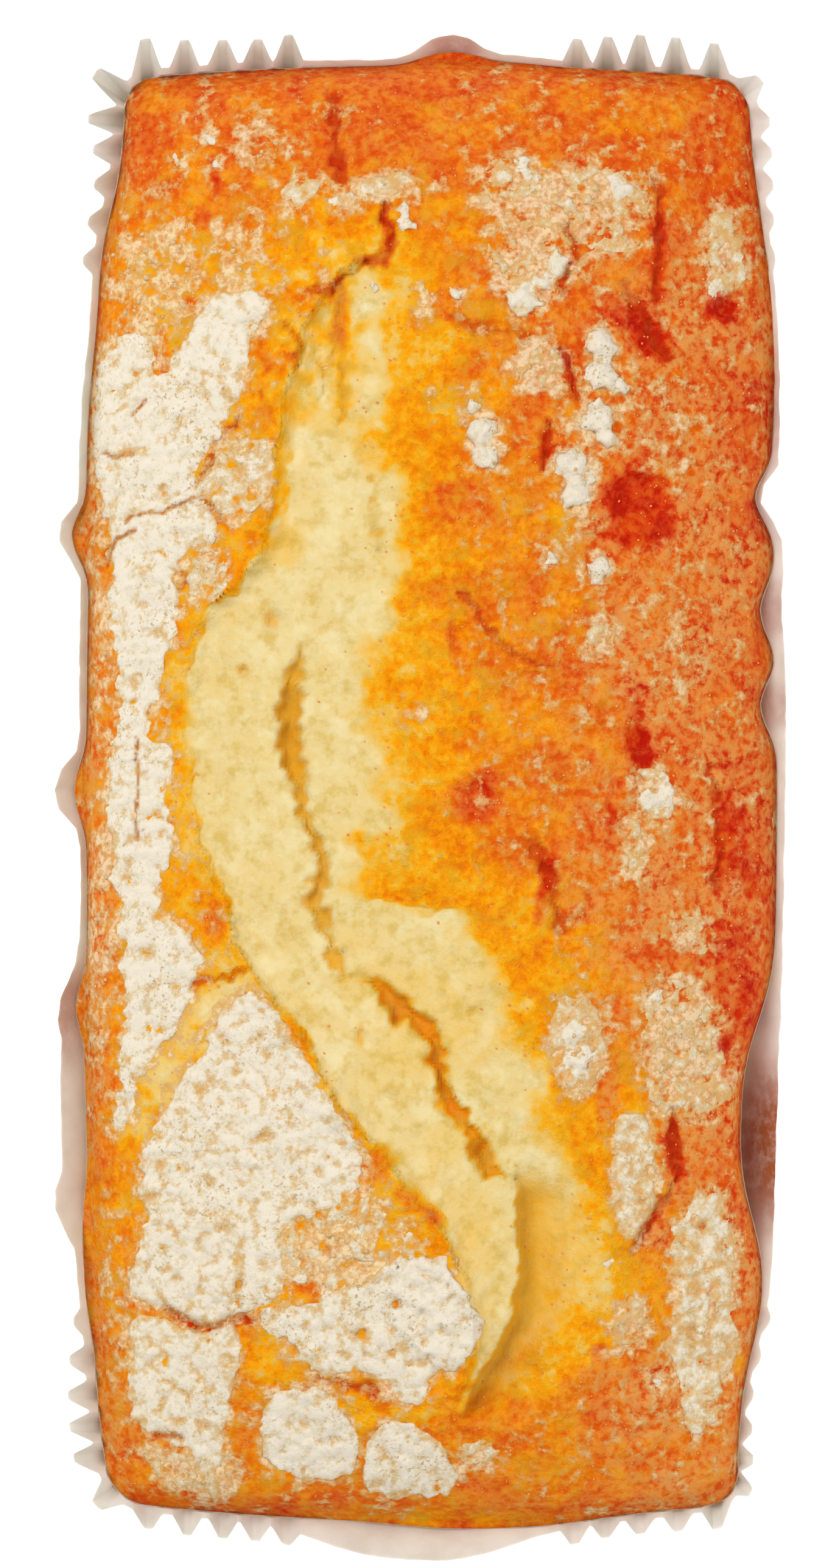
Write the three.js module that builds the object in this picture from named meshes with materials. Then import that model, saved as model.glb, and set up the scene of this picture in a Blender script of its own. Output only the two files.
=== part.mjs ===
// A lemon streusel loaf cake, still in the pleated paper case that it was baked in.
// All sizes are millimetres. X runs across the loaf, Y along it and Z up.
// The origin is on the ground, under the middle of the case's outermost points.
import * as THREE from "three";
import { mergeGeometries, mergeVertices } from "three/addons/utils/BufferGeometryUtils.js";

// ---------------------------------------------------------------------------
// Driving sizes
// ---------------------------------------------------------------------------

// The loaf's own middle lies off the origin, because its walls bulge unevenly.
const MIDDLE_X = 1.6;
const MIDDLE_Y = 1;

// The paper case: its walls lean out from the base to the rim.
const RIM_HALF_WIDTH = 42.9;
const RIM_HALF_LENGTH = 94.3;
const CORNER_RADIUS = 5;
const CASE_HEIGHT = 48;
const WALL_LEAN = 5;
const PAPER = 0.4;

// The long walls bow out a lot at their middles, the short ones a little.
const SIDE_BOW = 3.6;
const END_BOW = 2.2;

// Sharp upright folds gather the paper at each corner.
const PLEAT_PITCH = 4.6;
const PLEATS_EACH_WAY = 5;
const PLEAT_REACH = 3.8;
const RIGHT_PLEAT_SHARE = 0.45;
const NEAR_PLEAT_SHARE = 0.6;
const PLEAT_FOOT = 1.8;
const PLEAT_TIP = 0.45;
const PLEAT_START = 5;
const PLEAT_START_SHARE = 0.3;
const SIDE_PLEAT_FALL = 0.7;
const END_PLEAT_FALL = 0.1;
const PLEAT_UNEVEN = 0.12;

// The rim isn't cut quite level: it rises and falls so many times on its way round.
const RIM_WAVES = [
  { times: 3, height: 0.7, from: 1 },
  { times: 7, height: 0.5, from: 0 },
];

// The cake fills the case, all but a hair's breadth, and domes above its rim.
const FIT_GAP = 0.5;
const SHOULDER = 45;
const CROWN = 20;
const CREST_X = -5;
const ACROSS_CURVE = { power: 2.4, roundness: 0.72 };
const ALONG_CURVE = { power: 5, roundness: 0.62 };
const BOTTOM_ROUNDING = 1.4;
const RELIEF_END = 0.93;

// How finely the cake is divided: squares across and along its top, and bands up its sides.
const ACROSS = 34;
const ALONG = 74;
const CROWDING = 1.25;
const BANDS = 5;

// Outward directions of the four walls.
const LEFT = [-1, 0];
const RIGHT = [1, 0];
const FAR_END = [0, 1];
const NEAR_END = [0, -1];

// Where a wall isn't straight: the middle of the bulge along the wall, its half length,
// and how far the paper and the cake stand out there. A negative number is a dent.
const BULGES = [
  { wall: LEFT, at: 88, reach: 12, paper: -1.6, cake: -2.2 },
  { wall: LEFT, at: 47, reach: 12, paper: 0.7, cake: 0.7 },
  { wall: LEFT, at: 34.4, reach: 3.4, paper: 2.8, cake: 2.5 },
  { wall: LEFT, at: 0.8, reach: 4, paper: 3.4, cake: 1.8 },
  { wall: LEFT, at: -27.5, reach: 3.4, paper: 1.2, cake: 1.4 },
  { wall: LEFT, at: -41, reach: 17.5, paper: 3.2, cake: 0.8 },
  { wall: LEFT, at: -54, reach: 3.6, paper: 1.8, cake: 0.2 },
  { wall: LEFT, at: -61, reach: 9, paper: 0.3, cake: 1.2 },
  { wall: LEFT, at: -74, reach: 16, paper: 1.4, cake: 1 },
  { wall: RIGHT, at: 88, reach: 8, paper: 0, cake: -0.6 },
  { wall: RIGHT, at: 61, reach: 12, paper: 0.7, cake: 1.1 },
  { wall: RIGHT, at: 39.4, reach: 3.2, paper: -2.6, cake: -2.8 },
  { wall: RIGHT, at: 24.5, reach: 3.8, paper: -0.4, cake: -2.3 },
  { wall: RIGHT, at: 12, reach: 3.6, paper: 0, cake: -2.5 },
  { wall: RIGHT, at: -42.5, reach: 15, paper: -0.2, cake: -4.3 },
  { wall: RIGHT, at: -85, reach: 14, paper: -2.4, cake: -2.4 },
  { wall: FAR_END, at: 3.8, reach: 4.4, paper: 2.6, cake: 1.5 },
  { wall: FAR_END, at: 9, reach: 8, paper: 0.8, cake: 0.6 },
  { wall: NEAR_END, at: 2, reach: 42, paper: 0.9, cake: 0.9 },
  { wall: NEAR_END, at: 10, reach: 14, paper: 0.5, cake: 1.1 },
  { wall: NEAR_END, at: -0.5, reach: 14, paper: 3.6, cake: 0.1 },
];

// The crust tore open as the cake rose, and lemon-yellow crumb shows in the tear.
// Each row is a place along the loaf and the tear's left and right edges there.
const TEAR = [
  [70, -7, -3],
  [62, -15, -3.5],
  [48, -18, -4],
  [32, -20, -0.5],
  [25, -28, -4],
  [18, -31.5, -4],
  [10, -33.5, 0.5],
  [-5, -31, -3],
  [-14, -27.5, 6.5],
  [-25, -21.5, 12],
  [-40, -10.8, 17.3],
  [-51, -0.9, 22],
  [-64, 7, 21.7],
  [-72, 8, 16],
  [-82, 4, 5],
];
const TEAR_DEPTH = 1.6;
const TEAR_LEFT_SLOPE = 2.2;
const TEAR_RIGHT_SLOPE = 9;
const LIP_HEIGHT = 1.1;
const LIP_REACH = 5;

// A second, narrow crack runs through the crumb: a place, its half width and its depth.
const CRACK = [
  { x: -15, y: 19, half: 1.6, depth: 2 },
  { x: -17.4, y: 8, half: 2.8, depth: 6 },
  { x: -14.6, y: -4, half: 2.2, depth: 4.5 },
  { x: -12.6, y: -18, half: 1.9, depth: 3.5 },
  { x: -3.9, y: -26.4, half: 2.3, depth: 5 },
  { x: 2.4, y: -36, half: 2.6, depth: 5.5 },
  { x: 9.5, y: -48, half: 2.6, depth: 5 },
];

// Past the crack's end the left lobe of crumb stands over the right one in a step.
const STEP = [
  { x: 12.4, y: -51 },
  { x: 12.9, y: -64 },
  { x: 8.5, y: -78 },
  { x: 4, y: -83 },
];
const STEP_DROP = 4;
const STEP_RUN = 11;
const STEP_END_FADE = 4;

// The loaf opened along one line from end to end, and the tear, the crack and the step lie on it.
const SEAM = [
  { x: 0, y: 93 },
  { x: -5, y: 70 },
  { x: -10.5, y: 45 },
  ...CRACK,
  ...STEP,
  { x: 0, y: -93 },
];

// Sheets of streusel baked to a pale crust: middle, half sizes, turn in degrees from +X, and rise.
const STREUSEL = [
  { x: -24.5, y: 61, a: 4, b: 6, turn: 0, rise: 1.2 },
  { x: -28.7, y: 53, a: 13.5, b: 5.2, turn: 60, rise: 1.3 },
  { x: -35.5, y: 42, a: 6.5, b: 5.5, turn: 0, rise: 1.2 },
  { x: -35.8, y: 29, a: 9.5, b: 4.6, turn: 84, rise: 1.2 },
  { x: -37.2, y: 9, a: 12, b: 3.8, turn: 88, rise: 1.2 },
  { x: -37, y: -9, a: 8.5, b: 3.8, turn: 92, rise: 1.2 },
  { x: -23.5, y: 41, a: 4.8, b: 5.2, turn: 0, rise: 1.2 },
  { x: -34, y: -23, a: 7, b: 4.6, turn: 70, rise: 1.2 },
  { x: -22.5, y: -34, a: 5, b: 7, turn: 0, rise: 1.2 },
  { x: -21.5, y: -45, a: 12.5, b: 9, turn: 0, rise: 1.4 },
  { x: -26, y: -58, a: 11.5, b: 8.5, turn: 0, rise: 1.3 },
  { x: -7.5, y: -68.5, a: 11, b: 6, turn: 0, rise: 1.2 },
  { x: 0.9, y: -68, a: 7, b: 6.8, turn: 0, rise: 1.8 },
  { x: -31, y: -77.5, a: 6.4, b: 7.4, turn: 0, rise: 1.2 },
  { x: -15.1, y: -83.6, a: 5.8, b: 5.2, turn: 0, rise: 1.4 },
  { x: -1.5, y: -87, a: 5.4, b: 4.2, turn: 0, rise: 1.2 },
  { x: 37.6, y: -62, a: 12, b: 4, turn: 92, rise: 1.2 },
  { x: 28.5, y: -49, a: 6.5, b: 2.6, turn: 86, rise: 1.1 },
  { x: 14, y: 80, a: 7, b: 2.8, turn: 4, rise: 1 },
  { x: 24.5, y: 78.8, a: 6, b: 3.2, turn: 0, rise: 1 },
  { x: 14.5, y: 71.6, a: 4.8, b: 4, turn: 0, rise: 0.9 },
];
const STREUSEL_EDGE = 1.2;

// Loose lumps of streusel, each a low dome: middle and radius.
const LUMPS = [
  { x: 14.1, y: 64.8, r: 2.2 },
  { x: 24.5, y: 54, r: 2.6 },
  { x: 24.9, y: 48.8, r: 1.9 },
  { x: 20, y: 42, r: 2.9 },
  { x: 8.9, y: 46, r: 2.5 },
  { x: -1.9, y: 75.2, r: 2.4 },
  { x: 25.7, y: 74, r: 2.8 },
  { x: -26.7, y: 29.6, r: 3 },
  { x: 20.9, y: -35.2, r: 3 },
  { x: 33, y: 0, r: 2.4 },
];
const LUMP_HEIGHT = 0.7;

// ---------------------------------------------------------------------------
// The outline of the loaf, seen from above
// ---------------------------------------------------------------------------

// The rim before it bows and bulges, as a closed path that starts at the middle of the right wall.
const STRAIGHT_X = RIM_HALF_WIDTH - CORNER_RADIUS;
const STRAIGHT_Y = RIM_HALF_LENGTH - CORNER_RADIUS;
const RIM = new THREE.Path()
  .moveTo(RIM_HALF_WIDTH, 0)
  .lineTo(RIM_HALF_WIDTH, STRAIGHT_Y)
  .absarc(STRAIGHT_X, STRAIGHT_Y, CORNER_RADIUS, 0, Math.PI / 2)
  .lineTo(-STRAIGHT_X, RIM_HALF_LENGTH)
  .absarc(-STRAIGHT_X, STRAIGHT_Y, CORNER_RADIUS, Math.PI / 2, Math.PI)
  .lineTo(-RIM_HALF_WIDTH, -STRAIGHT_Y)
  .absarc(-STRAIGHT_X, -STRAIGHT_Y, CORNER_RADIUS, Math.PI, 1.5 * Math.PI)
  .lineTo(STRAIGHT_X, -RIM_HALF_LENGTH)
  .absarc(STRAIGHT_X, -STRAIGHT_Y, CORNER_RADIUS, 1.5 * Math.PI, 2 * Math.PI)
  .lineTo(RIM_HALF_WIDTH, 0);
const ARC = (Math.PI / 2) * CORNER_RADIUS;
const PERIMETER = 4 * (STRAIGHT_X + STRAIGHT_Y + ARC);
const LONG_SIDE = 2 * STRAIGHT_Y + ARC;
const SHORT_SIDE = 2 * STRAIGHT_X + ARC;

// The lengths along the rim of the four corners' middles, anticlockwise from the far right one.
const CORNERS = [
  LONG_SIDE / 2,
  LONG_SIDE / 2 + SHORT_SIDE,
  LONG_SIDE * 1.5 + SHORT_SIDE,
  LONG_SIDE * 1.5 + SHORT_SIDE * 2,
];

// The point of the rim at a length along it, with its outward direction.
function rimAt(length) {
  const share = THREE.MathUtils.euclideanModulo(length, PERIMETER) / PERIMETER;
  const point = RIM.getPointAt(share);
  const along = RIM.getTangentAt(share);
  return { x: MIDDLE_X + point.x, y: MIDDLE_Y + point.y, outX: along.y, outY: -along.x };
}

// How far the bowed and bulging wall stands outside the plain rim, for "paper" or "cake".
function bulgeAt(rim, layer) {
  const sideBow = SIDE_BOW * rim.outX ** 2 * (1 - ((rim.y - MIDDLE_Y) / RIM_HALF_LENGTH) ** 2);
  const endBow = END_BOW * rim.outY ** 2 * (1 - ((rim.x - MIDDLE_X) / RIM_HALF_WIDTH) ** 2);
  return BULGES.reduce((sum, bulge) => {
    const facing = Math.max(0, rim.outX * bulge.wall[0] + rim.outY * bulge.wall[1]);
    const along = bulge.wall[0] ? rim.y : rim.x;
    const fade = Math.exp(-(Math.abs((along - bulge.at) / bulge.reach) ** 3));
    return sum + bulge[layer] * facing * fade;
  }, sideBow + endBow);
}

// A point of a leaning wall: at a length along the rim, at a height, and pushed out by extra.
function wallPoint(length, z, layer, extra) {
  const rim = rimAt(length);
  const share = z / CASE_HEIGHT;
  const out = bulgeAt(rim, layer) * share - WALL_LEAN * (1 - share) + extra;
  return new THREE.Vector3(rim.x + rim.outX * out, rim.y + rim.outY * out, z);
}

// ---------------------------------------------------------------------------
// Surfaces
// ---------------------------------------------------------------------------

// A grid of squares whose corners are set one by one. place(column, row) gives each corner;
// column 0 is at the left and row 0 at the top, seen from outside the solid.
function surface(columns, rows, place) {
  const grid = new THREE.PlaneGeometry(1, 1, columns, rows);
  const corners = grid.attributes.position;
  for (let row = 0; row <= rows; row++) {
    for (let column = 0; column <= columns; column++) {
      const corner = place(column, row);
      corners.setXYZ(row * (columns + 1) + column, corner.x, corner.y, corner.z);
    }
  }
  return grid;
}

// A level face inside an outline that runs anticlockwise, as a fan round its middle.
// It faces up, or down if asked.
function level(outline, facesDown) {
  const fan = new THREE.CircleGeometry(1, outline.length);
  const corners = fan.attributes.position;
  corners.setXYZ(0, 0, 0, outline[0].z);
  for (let i = 0; i <= outline.length; i++) {
    const corner = outline[i % outline.length];
    corners.setXYZ(i + 1, corner.x, corner.y, corner.z);
  }
  return facesDown ? reversed(fan) : fan;
}

// The same faces, seen from their other side.
function reversed(geometry) {
  const index = geometry.index.array;
  for (let i = 0; i < index.length; i += 3) {
    [index[i + 1], index[i + 2]] = [index[i + 2], index[i + 1]];
  }
  return geometry;
}

// One closed body from surfaces that share their edges.
function closed(surfaces) {
  const joined = mergeGeometries(surfaces);
  joined.deleteAttribute("normal");
  joined.deleteAttribute("uv");
  const body = mergeVertices(joined, 1e-4);
  body.computeVertexNormals();
  return body;
}

// ---------------------------------------------------------------------------
// The cake's top
// ---------------------------------------------------------------------------

const { lerp, smoothstep, degToRad } = THREE.MathUtils;

// The tear's left and right edges at a place along the loaf.
function tearAt(y) {
  const next = TEAR.findIndex((row) => row[0] < y);
  if (next < 1) return null;
  const [above, below] = [TEAR[next - 1], TEAR[next]];
  const share = (above[0] - y) / (above[0] - below[0]);
  return { left: lerp(above[1], below[1], share), right: lerp(above[2], below[2], share) };
}

// Where the seam crosses a place along the loaf.
function seamAt(y) {
  const next = SEAM.findIndex((point) => point.y <= y);
  if (next < 1) return 0;
  const [above, below] = [SEAM[next - 1], SEAM[next]];
  return lerp(above.x, below.x, (above.y - y) / (above.y - below.y));
}

// The nearest point of a bent line to (x, y): how far away it is, its share along its own
// stretch, the stretch's two ends, and whether (x, y) lies to the line's left as it runs.
function nearestOn(line, x, y) {
  let best = { distance: Infinity };
  for (let i = 1; i < line.length; i++) {
    const [from, to] = [line[i - 1], line[i]];
    const [dx, dy] = [to.x - from.x, to.y - from.y];
    const along = ((x - from.x) * dx + (y - from.y) * dy) / (dx * dx + dy * dy);
    const share = THREE.MathUtils.clamp(along, 0, 1);
    const distance = Math.hypot(x - from.x - share * dx, y - from.y - share * dy);
    const isLeft = dx * (y - from.y) - dy * (x - from.x) > 0;
    if (distance < best.distance) best = { distance, share, from, to, isLeft };
  }
  return best;
}

// Half the loaf's width at a place along it.
function halfWidthAt(y) {
  return RIM_HALF_WIDTH + SIDE_BOW * (1 - ((y - MIDDLE_Y) / RIM_HALF_LENGTH) ** 2);
}

// The smooth dome: steep at the case, nearly flat on top, and highest left of the middle.
function domeAt(x, y) {
  const aside = CREST_X - MIDDLE_X;
  const reach = halfWidthAt(y) + (x < CREST_X ? aside : -aside);
  const across = Math.min(1, Math.abs(x - CREST_X) / reach);
  const along = Math.min(1, Math.abs(y - MIDDLE_Y) / (RIM_HALF_LENGTH + END_BOW));
  const acrossShare = (1 - across ** ACROSS_CURVE.power) ** ACROSS_CURVE.roundness;
  const alongShare = (1 - along ** ALONG_CURVE.power) ** ALONG_CURVE.roundness;
  return CROWN * acrossShare * alongShare;
}

// The tear's sunken crumb and the raised lip of crust along its left edge.
function tearRelief(x, y) {
  const tear = tearAt(y);
  if (!tear) return 0;
  const inLeft = smoothstep(x, tear.left, tear.left + TEAR_LEFT_SLOPE);
  const inRight = 1 - smoothstep(x, tear.right - TEAR_RIGHT_SLOPE, tear.right);
  const fromLip = Math.abs(x - tear.left) / LIP_REACH;
  const lip = x < tear.left ? LIP_HEIGHT * Math.max(0, 1 - fromLip) : 0;
  return lip - TEAR_DEPTH * inLeft * inRight;
}

function crackRelief(x, y) {
  const near = nearestOn(CRACK, x, y);
  const half = lerp(near.from.half, near.to.half, near.share);
  const depth = lerp(near.from.depth, near.to.depth, near.share);
  return -depth * Math.max(0, 1 - near.distance / half);
}

function stepRelief(x, y) {
  const near = nearestOn(STEP, x, y);
  const isPastEnd = y < STEP.at(-1).y || y > STEP[0].y;
  if (!near.isLeft || near.distance > STEP_RUN) return 0;
  const endFade = isPastEnd ? Math.max(0, 1 - near.distance / STEP_END_FADE) : 1;
  return -STEP_DROP * (1 - near.distance / STEP_RUN) * endFade;
}

function streuselRelief(x, y) {
  const sheets = STREUSEL.map((sheet) => {
    const turn = degToRad(sheet.turn);
    const [dx, dy] = [x - sheet.x, y - sheet.y];
    const u = (dx * Math.cos(turn) + dy * Math.sin(turn)) / sheet.a;
    const v = (dy * Math.cos(turn) - dx * Math.sin(turn)) / sheet.b;
    const inside = (1 - Math.hypot(u, v)) * Math.min(sheet.a, sheet.b);
    return sheet.rise * smoothstep(inside, -STREUSEL_EDGE, STREUSEL_EDGE);
  });
  const lumps = LUMPS.map((lump) => {
    const out = Math.hypot(x - lump.x, y - lump.y) / lump.r;
    return lump.r * LUMP_HEIGHT * Math.sqrt(Math.max(0, 1 - out * out));
  });
  return Math.max(...sheets, ...lumps);
}

// The whole top: its height above the ground at (x, y). edge is 0 at the middle of the loaf
// and 1 at the case, where every relief dies out.
function topHeight(x, y, edge) {
  const relief = tearRelief(x, y) + crackRelief(x, y) + stepRelief(x, y) + streuselRelief(x, y);
  return SHOULDER + domeAt(x, y) + relief * (1 - smoothstep(edge, RELIEF_END, 1));
}

// ---------------------------------------------------------------------------
// The cake
// ---------------------------------------------------------------------------

// The length along the rim that lies in the direction of a square's edge point: p and q run
// from -1 to 1 across and along the loaf, and one of them is at its end.
function lengthTowards(p, q) {
  if (p === 1 && q < 1) return (q * LONG_SIDE) / 2;
  if (q === 1) return CORNERS[0] + ((1 - p) * SHORT_SIDE) / 2;
  if (p === -1) return CORNERS[1] + ((1 - q) * LONG_SIDE) / 2;
  return CORNERS[2] + ((1 + p) * SHORT_SIDE) / 2;
}

// The squares' edge points in turn, anticlockwise from the near right corner.
function edgeSquare(i) {
  if (i < ALONG) return [ACROSS, i];
  if (i < ALONG + ACROSS) return [ACROSS - (i - ALONG), ALONG];
  if (i < 2 * ALONG + ACROSS) return [0, ALONG - (i - ALONG - ACROSS)];
  return [i - 2 * ALONG - ACROSS, 0];
}

// A column's place from -1 to 1 across the loaf. Columns crowd towards the seam.
function acrossAt(column) {
  const even = (2 * column) / ACROSS - 1;
  return Math.sign(even) * Math.abs(even) ** CROWDING;
}

function alongAt(row) {
  return (2 * row) / ALONG - 1;
}

const EDGE_POINTS = 2 * (ACROSS + ALONG);
const EDGE_LENGTHS = Array.from({ length: EDGE_POINTS }, (_, i) => {
  const [column, row] = edgeSquare(i);
  return lengthTowards(acrossAt(column), alongAt(row));
});

const CAKE_INSET = -(PAPER / 2 + FIT_GAP);
const CAKE_BOTTOM = PAPER + FIT_GAP;

// A point of the top, by its column across and its row along: each square ring of the grid
// keeps the loaf's outline, scaled down, and the middle column is drawn onto the seam.
function topPoint(column, row) {
  const [p, q] = [acrossAt(column), alongAt(row)];
  const edge = Math.max(Math.abs(p), Math.abs(q));
  const rim = wallPoint(lengthTowards(p / (edge || 1), q / (edge || 1)), SHOULDER, "cake", CAKE_INSET);
  if (edge === 1) return rim;
  const y = lerp(MIDDLE_Y, rim.y, edge);
  const fromMiddle = (rim.x - MIDDLE_X) * edge;
  const pull = Math.max(0, 1 - Math.abs(fromMiddle) / halfWidthAt(y));
  const x = MIDDLE_X + fromMiddle + (seamAt(y) - MIDDLE_X) * pull;
  return new THREE.Vector3(x, y, topHeight(x, y, edge));
}

// A point of the side, by its place round the edge and its band down from the shoulder.
function sidePoint(i, band) {
  const place = i % EDGE_POINTS;
  if (band === 0) return topPoint(...edgeSquare(place));
  if (band === BANDS) {
    return wallPoint(EDGE_LENGTHS[place], CAKE_BOTTOM, "cake", CAKE_INSET - BOTTOM_ROUNDING);
  }
  const above = CAKE_BOTTOM + BOTTOM_ROUNDING;
  const z = lerp(SHOULDER, above, band / (BANDS - 1));
  return wallPoint(EDGE_LENGTHS[place], z, "cake", CAKE_INSET);
}

function cakeGeometry() {
  const top = surface(ACROSS, ALONG, (column, row) => topPoint(column, ALONG - row));
  const sides = surface(EDGE_POINTS, BANDS, sidePoint);
  const outline = Array.from({ length: EDGE_POINTS }, (_, i) => sidePoint(i, BANDS));
  return closed([top, sides, level(outline, true)]);
}

// ---------------------------------------------------------------------------
// The paper case
// ---------------------------------------------------------------------------

// The corner folds, each at its length along the rim. No two reach out quite alike. They stand
// out less on the right and at the near end, and along the long walls they die away.
const PLEATS = CORNERS.flatMap((corner, c) =>
  Array.from({ length: 2 * PLEATS_EACH_WAY + 1 }, (_, i) => {
    const uneven = Math.sin(7.3 * i + 3.1 * c);
    const length = corner + (i - PLEATS_EACH_WAY + PLEAT_UNEVEN * uneven) * PLEAT_PITCH;
    const { outX, outY } = rimAt(length);
    const rightShare = lerp(1, RIGHT_PLEAT_SHARE, Math.max(0, outX));
    const share = rightShare * lerp(1, NEAR_PLEAT_SHARE, Math.max(0, -outY));
    const fall = lerp(END_PLEAT_FALL, SIDE_PLEAT_FALL, Math.abs(outX));
    const fromCorner = Math.abs(i / PLEATS_EACH_WAY - 1);
    const reach = PLEAT_REACH * share * (1 - fall * fromCorner + PLEAT_UNEVEN * uneven);
    return { length, reach };
  }),
);
const PLEATED = (PLEATS_EACH_WAY + 0.5) * PLEAT_PITCH;

// The lengths along the rim where the paper turns: four round each fold, and the cake's own
// points along the smooth stretches between the corners.
const SMOOTH_LENGTHS = EDGE_LENGTHS.map((length) =>
  THREE.MathUtils.euclideanModulo(length, PERIMETER),
).filter((length) => CORNERS.every((corner) => Math.abs(length - corner) > PLEATED));
const PAPER_POINTS = [
  ...SMOOTH_LENGTHS.map((length) => ({ length, out: 0 })),
  ...PLEATS.flatMap(({ length, reach }) => [
    { length: length - PLEAT_FOOT, out: 0 },
    { length: length - PLEAT_TIP, out: reach },
    { length: length + PLEAT_TIP, out: reach },
    { length: length + PLEAT_FOOT, out: 0 },
  ]),
].sort((a, b) => a.length - b.length);

function rimHeight(length) {
  const turn = (2 * Math.PI * length) / PERIMETER;
  const waves = RIM_WAVES.map(({ times, height, from }) => height * Math.sin(times * turn + from));
  return waves.reduce((sum, wave) => sum + wave, CASE_HEIGHT);
}

// The heights of the paper's turning lines: the base's edge, where the folds start, and the rim.
const PAPER_LEVELS = [
  () => ({ z: 0, fold: 0 }),
  () => ({ z: PLEAT_START, fold: PLEAT_START_SHARE }),
  (length) => ({ z: rimHeight(length), fold: 1 }),
];

// How far a corner of the paper may move, at the sharpest folds, to keep its thickness.
const SHARPEST = 0.6;

// The paper's middle line at one of those levels, moved out by half its thickness or in.
function paperOutline(lineUp, offset) {
  const middle = PAPER_POINTS.map(({ length, out }) => {
    const { z, fold } = lineUp(length);
    return wallPoint(length, z, "paper", out * fold);
  });
  return middle.map((point, i) => {
    const before = middle.at(i - 1);
    const after = middle[(i + 1) % middle.length];
    const first = new THREE.Vector2(point.y - before.y, before.x - point.x).normalize();
    const second = new THREE.Vector2(after.y - point.y, point.x - after.x).normalize();
    const out = first.clone().add(second).normalize();
    out.multiplyScalar(offset / Math.max(SHARPEST, out.dot(first)));
    return new THREE.Vector3(point.x + out.x, point.y + out.y, point.z);
  });
}

function caseGeometry() {
  const outer = PAPER_LEVELS.map((lineUp) => paperOutline(lineUp, PAPER / 2)).reverse();
  const inner = PAPER_LEVELS.map((lineUp) => paperOutline(lineUp, -PAPER / 2)).reverse();
  inner.at(-1).forEach((point) => point.setZ(PAPER));
  const count = PAPER_POINTS.length;
  const rows = PAPER_LEVELS.length - 1;
  return closed([
    surface(count, rows, (i, row) => outer[row][i % count]),
    reversed(surface(count, rows, (i, row) => inner[row][i % count])),
    surface(count, 1, (i, row) => (row === 0 ? inner : outer)[0][i % count]),
    level(inner.at(-1), false),
    level(outer.at(-1), true),
  ]);
}

// ---------------------------------------------------------------------------
// The loaf
// ---------------------------------------------------------------------------

const BAKED = new THREE.MeshStandardMaterial({ color: 0xdd8a34, roughness: 0.75, metalness: 0 });
const GREASEPROOF = new THREE.MeshStandardMaterial({ color: 0xf0ebe2, roughness: 0.6, metalness: 0 });

const loaf = new THREE.Group();

const cake = new THREE.Mesh(cakeGeometry(), BAKED);
cake.name = "cake";
loaf.add(cake);

const paperCase = new THREE.Mesh(caseGeometry(), GREASEPROOF);
paperCase.name = "paper_case";
loaf.add(paperCase);

export default loaf;
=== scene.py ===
import math

import bpy
import numpy as np
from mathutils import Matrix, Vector
from mathutils.bvhtree import BVHTree


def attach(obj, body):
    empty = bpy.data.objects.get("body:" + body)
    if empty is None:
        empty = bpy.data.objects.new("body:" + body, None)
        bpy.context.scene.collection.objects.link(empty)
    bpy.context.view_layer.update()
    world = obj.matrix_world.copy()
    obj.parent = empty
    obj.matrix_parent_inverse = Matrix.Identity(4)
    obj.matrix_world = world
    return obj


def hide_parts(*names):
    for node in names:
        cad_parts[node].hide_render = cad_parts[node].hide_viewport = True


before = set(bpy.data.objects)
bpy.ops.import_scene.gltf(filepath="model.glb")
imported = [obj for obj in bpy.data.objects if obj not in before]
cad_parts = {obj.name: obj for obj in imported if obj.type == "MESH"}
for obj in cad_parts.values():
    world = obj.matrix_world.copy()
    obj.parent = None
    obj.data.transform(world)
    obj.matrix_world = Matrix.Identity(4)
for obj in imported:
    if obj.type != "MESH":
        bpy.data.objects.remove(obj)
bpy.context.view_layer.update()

# ---------------------------------------------------------------------------
# The loaf
# One lemon sponge, baked in its case. Its top domed, browned to a sugared crust and tore open,
# so that pale yellow crumb shows in the tear. Sizes here are millimetres until a mesh is placed.
# ---------------------------------------------------------------------------
MM = 0.001

# Against rounding: what counts as nothing, what counts as a whole, and a length past all others.
TINY = 1e-9
NEARLY = 1 - 1e-6
FAR_AWAY = 1e9

# The dome, in the frame's own sizes.
MIDDLE_X = 1.6
MIDDLE_Y = 1
RIM_HALF_WIDTH = 42.9
RIM_HALF_LENGTH = 94.3
CORNER_RADIUS = 5
SIDE_BOW = 3.6
END_BOW = 2.2
SHOULDER = 45
CROWN = 20
CREST_X = -5
ACROSS_POWER = 2.4
ACROSS_ROUNDNESS = 0.72
ALONG_POWER = 5
ALONG_ROUNDNESS = 0.62

# The walls' outline is found from this far outside, in so many steps round, and each step is
# evened with this many on either side.
FROM_OUTSIDE = 25
ROUND_STEPS = 1440
EVENED_OVER = 5

# How finely the top is divided, and the heights of the sides' rings under the shoulder.
ACROSS = 200
ALONG = 424
SIDE_LEVELS = [44.9, 34, 22, 10, 2.4, 1]
BOTTOM_INSET = 1.2
EDGE_ROLL = 0.05

# The crust swells out at the rim until it all but touches the paper.
RIM_SWELL = 0.34

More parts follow.
